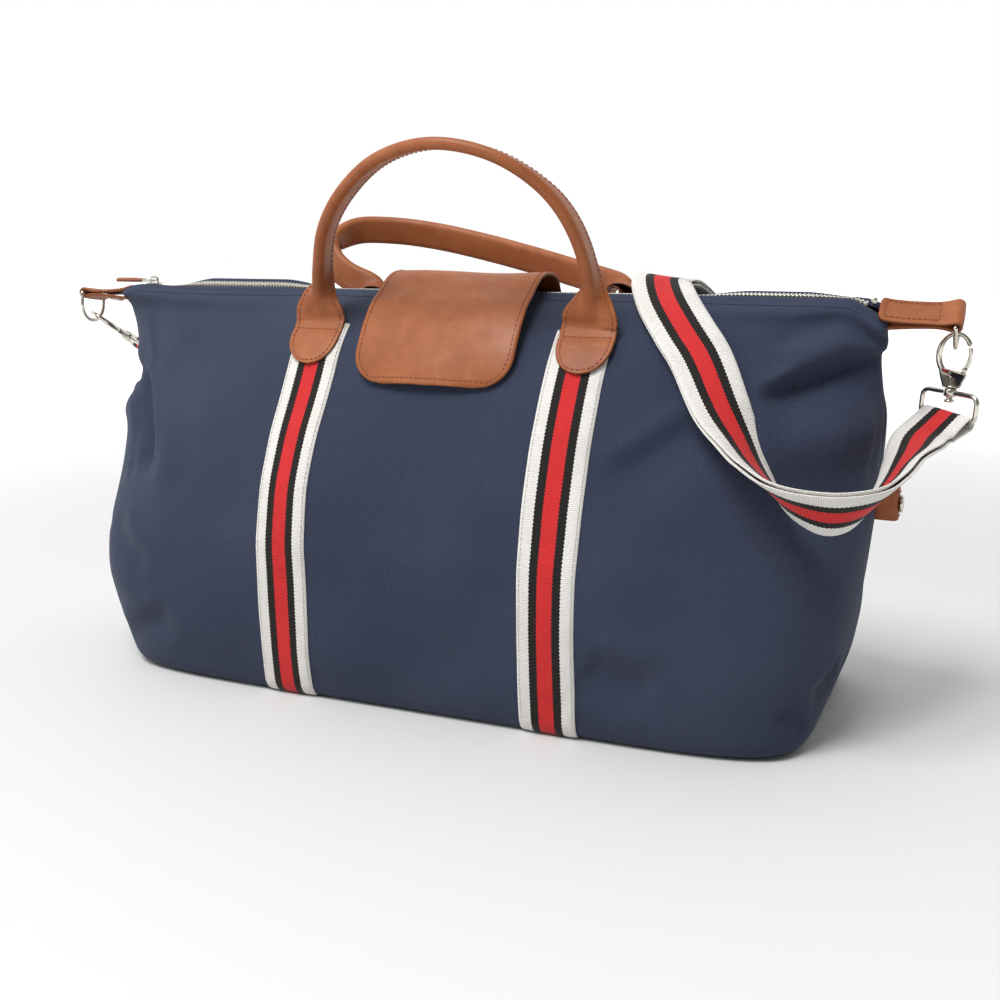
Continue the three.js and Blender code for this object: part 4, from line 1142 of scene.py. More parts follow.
def folded_section(fold, half_width):
    """One closed section of a leather sheet: flat when fold is 0, folded double round a core
    when it is 1. Columns are the distance sideways and the distance behind the front face."""
    s = np.linspace(-1, 1, SHEET_COLUMNS)
    reach = np.abs(s)
    angle = np.clip(reach / NOSE_SHARE, 0, 1) * math.pi / 2
    run = np.clip((reach - NOSE_SHARE) / (1 - NOSE_SHARE), 0, 1)
    side_x = np.where(reach < NOSE_SHARE, FOLD_RADIUS * np.sin(angle),
                      FOLD_RADIUS - (FOLD_RADIUS - SEAM_HALF) * run ** 1.4)
    side_y = np.where(reach < NOSE_SHARE, FOLD_RADIUS * (1 - np.cos(angle)),
                      FOLD_RADIUS + run * (STRIP_DEPTH - FOLD_RADIUS))
    folded = np.stack([np.sign(s) * side_x, side_y], axis=1)
    flat = np.stack([s * half_width, 0.5 * MM * reach ** 6], axis=1)
    ease = smooth_step(0, 1, fold)
    outer = flat * (1 - ease) + folded * ease
    along = unit(np.gradient(outer, axis=0))
    inward = np.stack([-along[:, 1], along[:, 0]], axis=1)
    depth = SHEET * (1 - ease) + 1.75 * MM * ease
    inner = outer + inward * depth
    inner[:, 0] = np.where(s > 0, np.maximum(inner[:, 0], 0.02 * MM), np.minimum(inner[:, 0], -0.02 * MM))
    inner[len(s) // 2, 0] = 0
    edge_right = (outer[-1] + inner[-1]) / 2 + along[-1] * 0.45 * MM
    edge_left = (outer[0] + inner[0]) / 2 - along[0] * 0.45 * MM
    section = np.concatenate([outer, [edge_right], inner[::-1], [edge_left]])
    rim = np.zeros(len(section))
    rim[len(s)] = rim[-1] = 1.0
    rim[[0, len(s) - 1, len(s) + 1, -2]] = 0.55
    return section, rim


def handle_line(route, side):
    """Stations of a handle and its two tongues: place, forward look of its fold, how far it
    is folded, and half width of the flat sheet."""
    stations = []

    def tongue(sign, heights):
        for z in heights:
            drop = np.clip(1 - (z - TONGUE_LOW) / TONGUE_ROUND, 0, 1)
            half = TONGUE_HALF * math.sqrt(max(1 - drop ** 2, 0.0009))
            x = sign * TONGUE_X
            look = unit(skin_normal(x, z, side) * vec(0, 1, 1))
            stations.append((on_skin(x, z, side, 2.4 * MM + SHEET), look, 0.0, half))

    heights = np.concatenate([TONGUE_LOW + TONGUE_ROUND * (1 - np.cos(np.linspace(0.03, math.pi / 2, 14))),
                              np.linspace(TONGUE_LOW + 0.020, TONGUE_TOP, 8)])
    tongue(-1, heights)
    steps = 9 * (len(route) - 1)
    line, looks = route_line(route, steps)
    along = lengths_along(line)
    for i in range(1, steps):
        reach = min(along[i], along[-1] - along[i])
        fold = smooth_step(*FOLD_RUN[side], reach)
        shift = looks[i] * (STRIP_DEPTH / 2 * fold + 1.0 * MM * (1 - fold))
        half = TONGUE_HALF * (1 - 0.08 * smooth_step(0, 0.02, reach))
        stations.append((line[i] + shift, looks[i], fold, half))
    tongue(1, heights[::-1])
    places, faces, folds, halves = (np.array(column) for column in zip(*stations))
    for _ in range(2):
        places[1:-1] = (places[:-2] + 2 * places[1:-1] + places[2:]) / 4
    return places, faces, folds, halves


def pucker(places, folds, s):
    """Gathers where the sheet starts to fold: a pinched line and small pleats above it."""
    height = places[:, 2]
    near = np.exp(-((height - TONGUE_STITCH_Z) / 0.0016) ** 2) * (folds < 0.25)
    swell = np.exp(-((height - SWELL_Z) / 0.0035) ** 2) * (np.abs(places[:, 0]) > 0.095)
    pleat = np.sin(s * 9.0 + 0.6) * 0.5 + np.sin(s * 4.0 - 1.0) * 0.5
    gather = np.exp(-((height - GATHER_Z) / 0.008) ** 2) * (folds < 0.95)
    return (-0.7 * MM * near[:, None] + 0.9 * MM * swell[:, None]
            + 0.8 * MM * gather[:, None] * pleat[None] * (1 - np.abs(s[None]) ** 4))


def edge_line(row, values, inset):
    """The values at a distance in from the first end of a row of points."""
    reach = lengths_along(row)
    return [np.interp(inset, reach, values[:, k]) for k in range(3)]


def handle(name, route, side, nodes):
    places, looks, folds, halves = handle_line(route, side)
    along = directions(places)
    across = unit(np.cross(along, looks))
    forward = unit(np.cross(across, along))
    count = SHEET_COLUMNS
    columns = np.linspace(-1, 1, count)
    rings, rims = [], []
    s = np.concatenate([columns, [1], columns[::-1], [-1]])
    lift = pucker(places, folds, s)
    for i in range(len(places)):
        section, rim = folded_section(folds[i], halves[i])
        ring = (places[i] + section[:, :1] * across[i] - (section[:, 1:] - lift[i][:, None]) * forward[i])
        rings.append(ring)
        rims.append(rim)
    rings, rims = np.array(rings), np.array(rims)
    rims[:2] = np.maximum(rims[:2], 0.5)
    rims[-2:] = np.maximum(rims[-2:], 0.5)
    start, end = (0, side * 0.048, 0.2635), (0, side * 0.048, 0.279)
    piece = loft(name, rings, False, None, rims.reshape(-1))
    dress(piece, LEATHER)
    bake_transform(piece)
    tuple(start)
    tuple(end)
    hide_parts(*nodes)

    def sewn_line(label, points, normals, pitch=LEATHER_SEAM[0]):
        sewn = stitches(f"{name}_{label}", points, normals, pitch, *LEATHER_SEAM[1:])
        dress(sewn, RUST_THREAD)
        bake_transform(sewn)
        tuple(start)
        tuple(end)

    outer = rings[:, :count]
    sheet_across = unit(np.gradient(outer, axis=1))
    sheet_along = unit(np.gradient(outer, axis=0))
    normals = unit(np.cross(sheet_across, sheet_along))
    away = np.sum(normals[:, count // 2] * forward, axis=1).mean()
    normals = normals if away > 0 else -normals
    last = len(places) - 1
    sewn = [i for i in range(ROUND_ROWS, last - ROUND_ROWS + 1)
            if lengths_along(outer[i])[-1] >= 2.2 * EDGE_INSET]
    for label, order in (("stitches_left", 1), ("stitches_right", -1)):
        sewn_line(label, [edge_line(outer[i][::order], outer[i][::order], EDGE_INSET) for i in sewn],
                  [edge_line(outer[i][::order], normals[i][::order], EDGE_INSET) for i in sewn])
    half = len(places) // 2
    for hand, tip, step, rows in (("left", ROUND_ROWS, 3, range(half)),
                                  ("right", last - ROUND_ROWS, -3, range(half, last + 1))):
        keep = np.abs(columns) <= 0.84
        drop = 1 - np.sqrt(1 - (columns[keep] * 0.96) ** 2)
        tangent = unit(outer[tip + step, count // 2] - outer[tip, count // 2])
        low = outer[tip][keep] + tangent * (drop[:, None] * 6.0 * MM - 1.6 * MM)
        sewn_line(f"tongue_{hand}_arc", low, normals[tip][keep])
        cross = min((i for i in rows if folds[i] == 0), key=lambda i: abs(places[i, 2] - TONGUE_STITCH_Z))
        inside = np.abs(columns) <= 0.86
        sewn_line(f"tongue_{hand}_cross", outer[cross][inside], normals[cross][inside], 3.2 * MM)


for place, route, side in (("front", FRONT_HANDLE, -1), ("rear", REAR_HANDLE, 1)):
    handle(f"{place}_leather_handle", route, side,
           [f"{place}_handle", f"{place}_handle_tongue_left", f"{place}_handle_tongue_right"])

# ------------------------------------------------------------------ flap

FLAP_LEFT, FLAP_RIGHT = -0.062, 0.058
FLAP_CORNER = 0.026
# Middle line of the flap, from its sewn edge on the back, over the zip and down the front.
FLAP_OVER = [(0.019, 0.2884), (0.014, 0.296), (0.002, 0.300), (-0.012, 0.2995), (-0.028, 0.293),
             (-0.043, 0.284), (-0.057, 0.271), (-0.068, 0.256), (-0.076, 0.242), (-0.0825, 0.228)]
ANCHOR_LIFT = 2.5 * MM


def flap():
    back_z = np.linspace(0.244, 0.280, 9)
    back = np.array([on_skin(0.0, z, 1, ANCHOR_LIFT) for z in back_z])[:, 1:]
    spine = np.concatenate([back, np.array(FLAP_OVER)])
    line = resample(centripetal([vec(0, *p) for p in spine], np.linspace(0, 1, 200)), 150)
    along = lengths_along(line)
    total = along[-1]
    face = unit(np.cross(vec(1, 0, 0), directions(line)))
    if face[len(face) // 2, 2] < 0:
        face = -face
    columns = np.linspace(-1, 1, 61)
    middle, half = (FLAP_LEFT + FLAP_RIGHT) / 2, (FLAP_RIGHT - FLAP_LEFT) / 2
    grid, normals = [], []
    for i, point in enumerate(line):
        corner = np.clip((along[i] - (total - FLAP_CORNER)) / FLAP_CORNER, 0, 1)
        start = np.clip((0.012 - along[i]) / 0.012, 0, 1)
        trim = FLAP_CORNER * (1 - math.sqrt(max(1 - corner ** 2.3, 0))) * 0.985
        trim += 0.012 * (1 - math.sqrt(max(1 - start ** 2, 0)))
        xs = middle + columns * (half - trim)
        sway = 0.0009 * np.sin(xs * 55 + along[i] * 40) * smooth_step(0.05, 0.10, along[i])
        curl = -0.0022 * np.abs(columns) ** 3 * smooth_step(0.10, 0.16, along[i])
        bend = -0.0015 * np.exp(-((along[i] - 0.128) / 0.010) ** 2)
        grid.append(np.stack([xs, np.full_like(xs, point[1]), np.full_like(xs, point[2])], axis=1)
                    + face[i] * (sway + curl + bend)[:, None])
        normals.append(np.broadcast_to(face[i], (len(xs), 3)))
    grid, normals = np.array(grid), np.array(normals)
    top = grid + normals * SHEET / 2
    piece = slab("leather_flap", top, grid - normals * SHEET / 2)
    dress(piece, LEATHER)
    start, end = (0, 0.030, 0.2815), (0, 0.012, 0.2965)
    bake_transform(piece)
    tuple(start)
    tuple(end)
    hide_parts("flap", "flap_anchor")

    first = int(np.searchsorted(along, 0.006))
    rows = [i for i in range(first, len(line)) if along[i] <= total - EDGE_INSET]
    insets = [EDGE_INSET + extra_inset(along[i], total) for i in rows]
    left = [edge_line(top[i], top[i], inset) for i, inset in zip(rows, insets)]
    right = [edge_line(top[i], top[i], lengths_along(top[i])[-1] - inset) for i, inset in zip(rows, insets)]
    bottom = rows[-1]
    reach = lengths_along(top[bottom])
    shares = np.linspace(insets[-1], reach[-1] - insets[-1], 30)
    under = np.stack([np.interp(shares, reach, top[bottom][:, k]) for k in range(3)], axis=1)
    path = np.concatenate([left, under[1:-1], right[::-1]])
    side_looks = normals[rows, 0]
    looks = np.concatenate([side_looks, np.broadcast_to(normals[bottom, 0], (len(under) - 2, 3)),
                            side_looks[::-1]])
    sewn = stitches("leather_flap_stitches", path, looks, *LEATHER_SEAM)
    dress(sewn, RUST_THREAD)
    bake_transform(sewn)
    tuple(start)
    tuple(end)
    seam = stitches("leather_flap_anchor_stitches", top[first][4:-4], face[first], *LEATHER_SEAM)
    settle(seam, RUST_THREAD, "leather", "bag")


def extra_inset(place, total):
    """Stitches round a corner keep their distance from the edge that closes in below."""
    near = np.clip((place - (total - FLAP_CORNER)) / FLAP_CORNER, 0, 1)
    return 1.2 * MM * near ** 2


flap()

# ------------------------------------------------------------------ end tabs and side tabs

TABS = {
    "left": {"side": -1, "start": 0.3156, "loop": 0.354, "z": 0.2795, "tilt": -8, "rise": 0.9,
             "overlap": 0.010},
    "right": {"side": 1, "start": 0.2916, "loop": 0.3325, "z": 0.2775, "tilt": 33, "rise": 0.8,
              "overlap": 0.006},
}
TAB_HALF = 11 * MM
TAB_SHEET = 2.1 * MM
TAB_LOOP = 3.3 * MM
TAB_INSET = 2.8 * MM
TAB_SNAP = (0.013, 0, -2.7 * MM - GAP)


def tab_place(tab, points):
    """From a tab's own frame (out, across, up) to the bag's."""
    points = np.asarray(points, float)
    tilt = math.radians(tab["tilt"])
    x = tab["side"] * (tab["start"] + points[..., 0])
    y = points[..., 1] * math.cos(tilt) - points[..., 2] * math.sin(tilt)
    z = tab["z"] + points[..., 1] * math.sin(tilt) + points[..., 2] * math.cos(tilt)
    return np.stack([x, y, z], axis=-1)


def tab_turn(tab, vectors):
    return tab_place(tab, vectors) - tab_place(tab, np.zeros(3))


def end_tab(hand, tab):
    length = tab["loop"] - tab["start"]
    overlap = tab["overlap"]
    mid = 1.55 * MM
    throat = length - 8 * MM
    rise = tab["rise"]
    upper = [(-overlap, 0, 7.0 * MM * rise), (-overlap * 0.5, 0, 5.0 * MM * rise), (0, 0, 3.2 * MM),
             (0.008, 0, 2.2 * MM), (throat * 0.6, 0, mid), (throat, 0, mid)]
    loop = []
    for angle in np.radians(np.linspace(112, -112, 17)):
        loop.append((length + TAB_LOOP * math.cos(angle), 0, TAB_LOOP * math.sin(angle)))
    lower = [(throat, 0, -mid), (throat * 0.55, 0, -mid - 0.2 * MM), (0.006, 0, -2.6 * MM),
             (-overlap * 0.45, 0, -3.6 * MM), (-overlap * 0.8, 0, -4.2 * MM)]
    spine = np.array(upper + loop + lower)
    spine = resample(centripetal(spine, np.linspace(0, 1, 240)), 130)
    out = unit(np.cross(directions(spine), vec(0, 1, 0)))
    if out[40, 2] < 0:
        out = -out
    along = lengths_along(spine)
    total = along[-1]
    columns = np.linspace(-1, 1, 27)
    near_end = np.minimum(along, total - along)
    corner = np.clip(1 - near_end / 0.004, 0, 1)
    half = TAB_HALF - 0.0035 * (1 - np.sqrt(np.clip(1 - corner ** 2, 0, 1)))
    half += 0.0012 * np.exp(-((spine[:, 0] - length) / 0.010) ** 2)
    grid = spine[:, None] + columns[None, :, None] * half[:, None, None] * vec(0, 1, 0)
    crown = 0.35 * MM * (1 - columns ** 2)
    grid = grid + out[:, None] * crown[None, :, None]
    normals = np.broadcast_to(out[:, None], grid.shape)
    outer = tab_place(tab, grid + normals * TAB_SHEET / 2)
    inner = tab_place(tab, grid - normals * TAB_SHEET / 2)
    settle(slab(f"leather_end_tab_{hand}", outer, inner), LEATHER, "leather", "bag", f"end_tab_{hand}")

    rows = slice(*np.searchsorted(along, [TAB_INSET, overlap + throat - 1.5 * MM]))
    middle = (grid + normals * TAB_SHEET / 2)[rows, len(columns) // 2]
    aside = (1 - TAB_INSET / TAB_HALF) * half[rows, None] * vec(0, 1, 0)
    low_side, high_side = middle - aside, middle + aside
    start_row = np.linspace(low_side[0], high_side[0], 12)[1:-1]
    end_row = np.linspace(low_side[-1], high_side[-1], 12)[1:-1]
    path = np.concatenate([low_side[::-1], start_row, high_side, end_row[::-1]])
    sewn = stitches(f"leather_end_tab_{hand}_stitches", tab_place(tab, path), tab_turn(tab, UP),
                    3.3 * MM, 2.6 * MM, 0.28 * MM, closed=True)
    settle(sewn, RUST_THREAD, "leather", "bag")
    snap_cap(f"end_tab_snap_cap_{hand}", tab_place(tab, TAB_SNAP), tab_turn(tab, -UP),
             f"end_tab_snap_{hand}")


def turned_profile(name, profile, origin, axis, sides=40):
    """A round piece turned from a profile of (radius, height) in mm along an axis."""
    axis = unit(axis)
    helper = UP if abs(axis[2]) < 0.9 else vec(1, 0, 0)
    u = unit(np.cross(axis, helper))
    v = np.cross(axis, u)
    angles = 2 * math.pi * np.arange(sides) / sides
    circle = np.cos(angles)[:, None] * u + np.sin(angles)[:, None] * v
    rings = [np.asarray(origin) + radius * MM * circle + height * MM * axis for radius, height in profile]
    return loft(name, rings)


# Snap: rolled rim, dished face and a small socket in its middle, as (radius, height) in mm.
SNAP = [(0.2, 0.0), (4.6, 0.0), (5.7, 0.25), (6.0, 0.8), (5.9, 1.5), (5.4, 2.0), (4.8, 2.05), (4.4, 1.75),
        (4.1, 1.35), (2.6, 1.25), (2.3, 1.5), (2.0, 1.95), (1.5, 2.0), (1.2, 1.7), (1.0, 1.2), (0.1, 1.15)]


def snap_cap(name, origin, axis, node):
    settle(turned_profile(name, SNAP, origin, axis), NICKEL, "hardware", "bag", node)


for hand, tab in TABS.items():
    end_tab(hand, tab)

SIDE_TAB_Z = 0.154
SIDE_TAB_HALF = 10.5 * MM
SIDE_TAB_SHEET = 1.9 * MM
SIDE_TAB_FACE = 14.4 * MM


def side_tab(hand, sign, column):
    """Leather loop sewn into the end seam, with a snap on its outer face."""
    start = float(np.interp(SIDE_TAB_Z, BODY_ROWS[:, 0], BODY_ROWS[:, column])) + GAP
    half_spine = [(-1.0, -4.3), (2.0, -4.5), (8.0, -4.9), (11.2, -5.0), (12.9, -4.2), (13.4, -2.6)]
    spine = half_spine + [(x, -y) for x, y in half_spine[::-1]]
    spine = np.array([(x * MM, y * MM, 0) for x, y in spine])
    spine = resample(centripetal(spine, np.linspace(0, 1, 160)), 90)
    out = unit(np.cross(directions(spine), UP))
    if out[len(out) // 2, 0] < 0:
        out = -out
    columns = np.linspace(-1, 1, 21)
    grid = spine[:, None] + columns[None, :, None] * SIDE_TAB_HALF * UP
    normals = np.broadcast_to(out[:, None], grid.shape)

    def place(points):
        return points * vec(sign, 1, 1) + vec(sign * start, 0, SIDE_TAB_Z)

    piece = slab(f"leather_side_tab_{hand}", place(grid + normals * SIDE_TAB_SHEET / 2),
                 place(grid - normals * SIDE_TAB_SHEET / 2))
    settle(piece, LEATHER, "leather", "bag", f"side_tab_{hand}")
    for label, edge in (("low", -1), ("high", 1)):
        line = spine[6:-6] + vec(0, 0, edge * (SIDE_TAB_HALF - 2.4 * MM)) + out[6:-6] * SIDE_TAB_SHEET / 2
        sewn = stitches(f"leather_side_tab_{hand}_stitches_{label}", place(line), out[6:-6] * vec(sign, 1, 1),
                        3.2 * MM, 2.5 * MM, 0.27 * MM)
        settle(sewn, RUST_THREAD, "leather", "bag")
    face = start + SIDE_TAB_FACE + GAP
    snap_cap(f"side_snap_cap_{hand}", vec(sign * face, 0, SIDE_TAB_Z), vec(sign, 0, 0), f"side_snap_{hand}")


side_tab("left", -1, 1)
side_tab("right", 1, 2)

# ------------------------------------------------------------------ zip

ZIP_LEFT, ZIP_RIGHT = -0.301, 0.279
TAPE_ENDS = (-0.3045, 0.2885)
TAPE_EDGES = (0.0024, 0.0079)
TAPE_Z = 0.2862
TOOTH_PITCH = 2.7 * MM
TOOTH_HALF = 0.62 * MM
SLIDER_X = -0.290


def box_points(low, high, bevel):
    """Outline rings of a box with its edges taken off, bottom to top."""
    low, high = np.array(low), np.array(high)
    rings = []
    for z, shrink in ((low[2], bevel), (low[2] + bevel, 0), (high[2] - bevel, 0), (high[2], bevel)):
        x0, y0 = low[:2] + shrink
        x1, y1 = high[:2] - shrink
        b = bevel if shrink == 0 else bevel * 0.6
        rings.append([(x0 + b, y0, z), (x1 - b, y0, z), (x1, y0 + b, z), (x1, y1 - b, z),
                      (x1 - b, y1, z), (x0 + b, y1, z), (x0, y1 - b, z), (x0, y0 + b, z)])
    return np.array(rings)


def beveled_box(name, low, high, bevel=0.3 * MM):
    return loft(name, box_points(low, high, bevel))


def teeth_row(name, side, node):
    """One row of zip teeth: each clasps the tape edge and reaches to the other row."""
    points, faces = [], []
    shift = 0.0 if side < 0 else TOOTH_PITCH / 2
    for i in range(int((ZIP_RIGHT - ZIP_LEFT) / TOOTH_PITCH)):
        x = ZIP_LEFT + TOOTH_PITCH * (i + 0.5) + shift * 0.9
        rings = box_points((x - TOOTH_HALF, 0, 0.28465), (x + TOOTH_HALF, 0.0041, 0.28775), 0.22 * MM)
        rings[:, :, 1] = side * (rings[:, :, 1] - 0.0006)
        base = len(points)
        points.extend(rings.reshape(-1, 3))
        ring_count, size = rings.shape[:2]
        for r in range(ring_count - 1):
            for k in range(size):
                a, b = base + r * size + k, base + r * size + (k + 1) % size
                face = (a, b, b + size, a + size)
                faces.append(face if side > 0 else face[::-1])
        low = tuple(base + k for k in range(size))
        top = tuple(base + (ring_count - 1) * size + k for k in range(size))
        faces.append(low[::-1] if side > 0 else low)
        faces.append(top if side > 0 else top[::-1])
    piece = make_mesh(name, tip_dip(zip_tilt(np.array(points))), faces)
    for face in piece.data.polygons:
        face.use_smooth = False
    settle(piece, ZIP_METAL, "zip_metal", "bag", node)


def zip_tape(name, side, node):
    xs = np.linspace(*TAPE_ENDS, 303)
    top, uv = [], []
    for y in np.linspace(*TAPE_EDGES, 7):
        crown = 0.15 * MM * math.sin((y - TAPE_EDGES[0]) * 500)
        top.append(np.stack([xs, np.full_like(xs, side * y), np.full_like(xs, TAPE_Z + crown)], axis=1))
        uv.append(np.stack([xs, np.full_like(xs, y)], axis=1))
    top = tip_dip(zip_tilt(np.array(top)))
    piece = slab(name, top, top - vec(0, 0, 0.7 * MM), np.array(uv))
    settle(piece, TAPE, "zip_tape", "bag", node)
    sewn_xs = xs[3:-3]
    for k, y in enumerate((0.00535, 0.0068)):
        line = np.stack([sewn_xs, np.full_like(sewn_xs, side * y), np.full_like(sewn_xs, 0.2864)], axis=1)
        line = tip_dip(zip_tilt(line))
        sewn = stitches(f"{name}_stitches_{k}", line, UP, 3.0 * MM, 2.3 * MM, 0.2 * MM, 0.05 * MM)
        settle(sewn, NAVY_THREAD, "zip_tape", "bag")


for side, which in ((-1, "front"), (1, "back")):
    teeth_row(f"zip_teeth_{which}", side, f"zip_chain_{which}")
    zip_tape(f"zip_cloth_{which}", side, f"zip_tape_{which}")
for hand, x in (("left", -0.3034), ("right", 0.2814)):
    piece = beveled_box(f"zip_end_{hand}", (x - 0.0018, -0.0033, 0.2845), (x + 0.0018, 0.0033, 0.2878))
    settle(piece, ZIP_METAL, "zip_metal", "bag", f"zip_stop_{hand}")


def outline_plate(name, outline, low, high, bevel=0.35 * MM):
    """Plate with a soft edge from an outline of (x, y) points, around its own middle."""
    outline = np.asarray(outline, float)
    middle = outline.mean(axis=0)
    away = unit(outline - middle)
    rings = []
    for z, shrink in ((low, bevel), (low + bevel * 0.35, bevel * 0.3), (low + bevel, 0), (high - bevel, 0),
                      (high - bevel * 0.35, bevel * 0.3), (high, bevel)):
        flat = outline - away * shrink
        rings.append(np.column_stack([flat, np.full(len(flat), z)]))
    return loft(name, rings)


def zip_slider():
    """Slider body with two winged plates, a neck and a bail over the top."""
    t = np.linspace(0, 2 * math.pi, 48, endpoint=False)
    wide = 0.0046 * (1 + 0.08 * np.cos(t)) * np.sign(np.sin(t)) * np.abs(np.sin(t)) ** 0.55
    long = 0.0065 * np.sign(np.cos(t)) * np.abs(np.cos(t)) ** 0.7 + SLIDER_X
    outline = np.stack([long, wide], axis=1)
    top = outline_plate("slider_top", outline, 0.2882, 0.2900)
    bottom = outline_plate("slider_bottom", outline, 0.2826, 0.2841)
    neck = beveled_box("slider_neck", (-0.2865, -0.0004, 0.2838), (-0.2842, 0.0004, 0.2885), 0.1 * MM)
    body = join([top, bottom, neck], "zip_slider_body")
    settle(body, ZIP_METAL, "zip_metal", "zip_slider", "zip_slider")
    half_arch = [(-4.6, 289.6), (-4.9, 291.4), (-4.2, 293.2), (-2.4, 294.1)]
    arch = [(SLIDER_X, y * MM, z * MM) for y, z in
            half_arch + [(0, 294.3)] + [(-y, z) for y, z in half_arch[::-1]]]
    arch = centripetal(arch, np.linspace(0, 1, 50))
    bail = tube("zip_bail", arch, 0.85 * MM, sides=16, normal=vec(1, 0, 0))
    settle(bail, ZIP_METAL, "zip_metal", "zip_slider", "zip_slider_bail")
    half_link = [(-289.8, -2.4), (-292.5, -3.0), (-297.0, -2.7), (-301.0, -2.1), (-301.9, -1.2)]
    link_line = [(x * MM, y * MM, 291.4 * MM) for x, y in
                 half_link + [(x, -y) for x, y in half_link[::-1]] + [(-289.4, 0.0)]]
    line = centripetal(link_line + link_line[:1], np.linspace(0, 1, 90))[:-1]
    eye = tube("zip_pull_link", line, 0.78 * MM, closed=True, sides=14, normal=UP)
    settle(eye, ZIP_METAL, "zip_metal", "zip_pull", "zip_pull_eye")


zip_slider()


def zip_pull_tab():
    """Leather pull folded through the link, sewn round its edge."""
    xs = np.concatenate([-0.30120 - 0.002 * (1 - np.cos(np.linspace(0, math.pi / 2, 6))),
                         np.linspace(-0.3042, -0.3235, 22),
                         -0.3235 - 0.0026 * np.sin(np.linspace(0.2, math.pi / 2, 8))])
    columns = np.linspace(-1, 1, 17)
    grid = []
    for x in xs:
        half = np.interp(-x, [0.3012, 0.3045, 0.3235], [3.4, 4.0, 5.0]) * MM
        end = np.clip((-x - 0.3225) / 0.0038, 0, 1)
        half *= math.sqrt(max(1 - end ** 2.4 * 0.93, 0.02))
        grid.append([(x, c * half, 0.2914 + 0.15 * MM * (1 - c * c)) for c in columns])
    grid, half_sheet = np.array(grid), vec(0, 0, 1.3 * MM)
    top = grid + half_sheet
    settle(slab("zip_pull_leather", top, grid - half_sheet), LEATHER, "leather", "zip_pull", "zip_pull_tab")
    side_low, side_high = top[7:-6, 3], top[7:-6, -4]
    end = np.linspace(side_low[-1], side_high[-1], 6)[1:-1]
    path = np.concatenate([side_low, end, side_high[::-1]])
    sewn = stitches("zip_pull_stitches", path, UP, 2.3 * MM, 1.8 * MM, 0.2 * MM)
    settle(sewn, RUST_THREAD, "leather", "zip_pull")


zip_pull_tab()

# ------------------------------------------------------------------ rings and hooks

WIRE = 1.5 * MM
EYE_MIDDLE = 24.5
EYE_HALF = 13.5
NOSE_ANGLE = 34
# Turned profiles, as (radius, height) in mm.
POST = [(0.1, -6.3), (2.6, -6.3), (3.2, -6.0), (3.35, -5.4), (3.2, -4.8), (2.3, -4.5), (2.1, -4.2),
        (2.1, 3.1), (3.2, 3.2), (3.9, 3.7), (3.9, 4.3), (3.2, 4.8), (0.1, 4.9)]
NOSE = [(0.05, -1.9), (1.2, -1.5), (1.75, -0.5), (1.75, 0.5), (1.2, 1.5), (0.05, 1.9)]
KNUCKLE = [(0.05, -2.5), (1.7, -2.5), (1.9, -2.2), (1.9, 2.2), (1.7, 2.5), (0.05, 2.5)]
BOSS = [(2.3, -2.6), (3.4, -2.75), (4.1, -2.2), (4.25, 0), (4.1, 2.2), (3.4, 2.75), (2.3, 2.6)]
# For each side: the hook's swivel, the way it points, and the ways its eye and the strap ring lie.
HARDWARE = {
    "left": {
        "pivot": (-0.34478, 0.02995, 0.24156), "up": (-11, -29, 21.4), "eye": (-0.77, 0.365, 0.209),
        "ring": (-0.877, 0.417, 0.239),
    },
    "right": {
        "pivot": (0.33075, 0.01171, 0.2275), "up": (1.9, 0.3, 34.2), "eye": (1, 0.08, 0),
        "ring": (0.78, -0.61, -0.12),
    },
}


def frame_map(origin, across, up):
    """Function that takes points (across, through, up) in mm to the bag's frame."""
    up = unit(vec(*up))
    across = vec(*across)
    across = unit(across - up * np.dot(across, up))
    through = np.cross(up, across)
    origin = vec(*origin)

    def place(points):
        points = np.asarray(points, float) * MM
        return origin + points[..., :1] * across + points[..., 1:2] * through + points[..., 2:3] * up

    return place, across, through, up


def d_ring(hand, tab):
    length = tab["loop"] - tab["start"]
    corner = [(13.35, 1.4), (13.0, 5.0), (12.9, 8.4)]
    bar = [(-13, 0), (-11.5, 0), (0, 0), (11.5, 0), (13, 0)]
    arc = [(12.74 * math.cos(a), 9.24 + 12.76 * math.sin(a)) for a in np.radians(np.linspace(8, 172, 24))]
    outline = np.array(bar + corner + arc + [(-x, z) for x, z in corner[::-1]] + bar[:1]) * MM
    flat = np.stack([np.full(len(outline), length), outline[:, 0], -outline[:, 1]], axis=1)
    line = centripetal(tab_place(tab, flat), np.linspace(0, 1, 220))[:-1]
    piece = tube(f"d_ring_wire_{hand}", line, WIRE, closed=True, sides=20, normal=tab_turn(tab, vec(1, 0, 0)))
    settle(piece, NICKEL, "hardware", f"d_ring_{hand}", f"d_ring_{hand}")


def hook_arc(degrees, half_width, half_height):
    """Part of the oval of a hook's eye, in mm in the hook's own frame."""
    angles = np.radians(degrees)
    return np.stack([half_width * np.cos(angles), np.zeros(len(angles)),
                     EYE_MIDDLE + half_height * np.sin(angles)], axis=1)


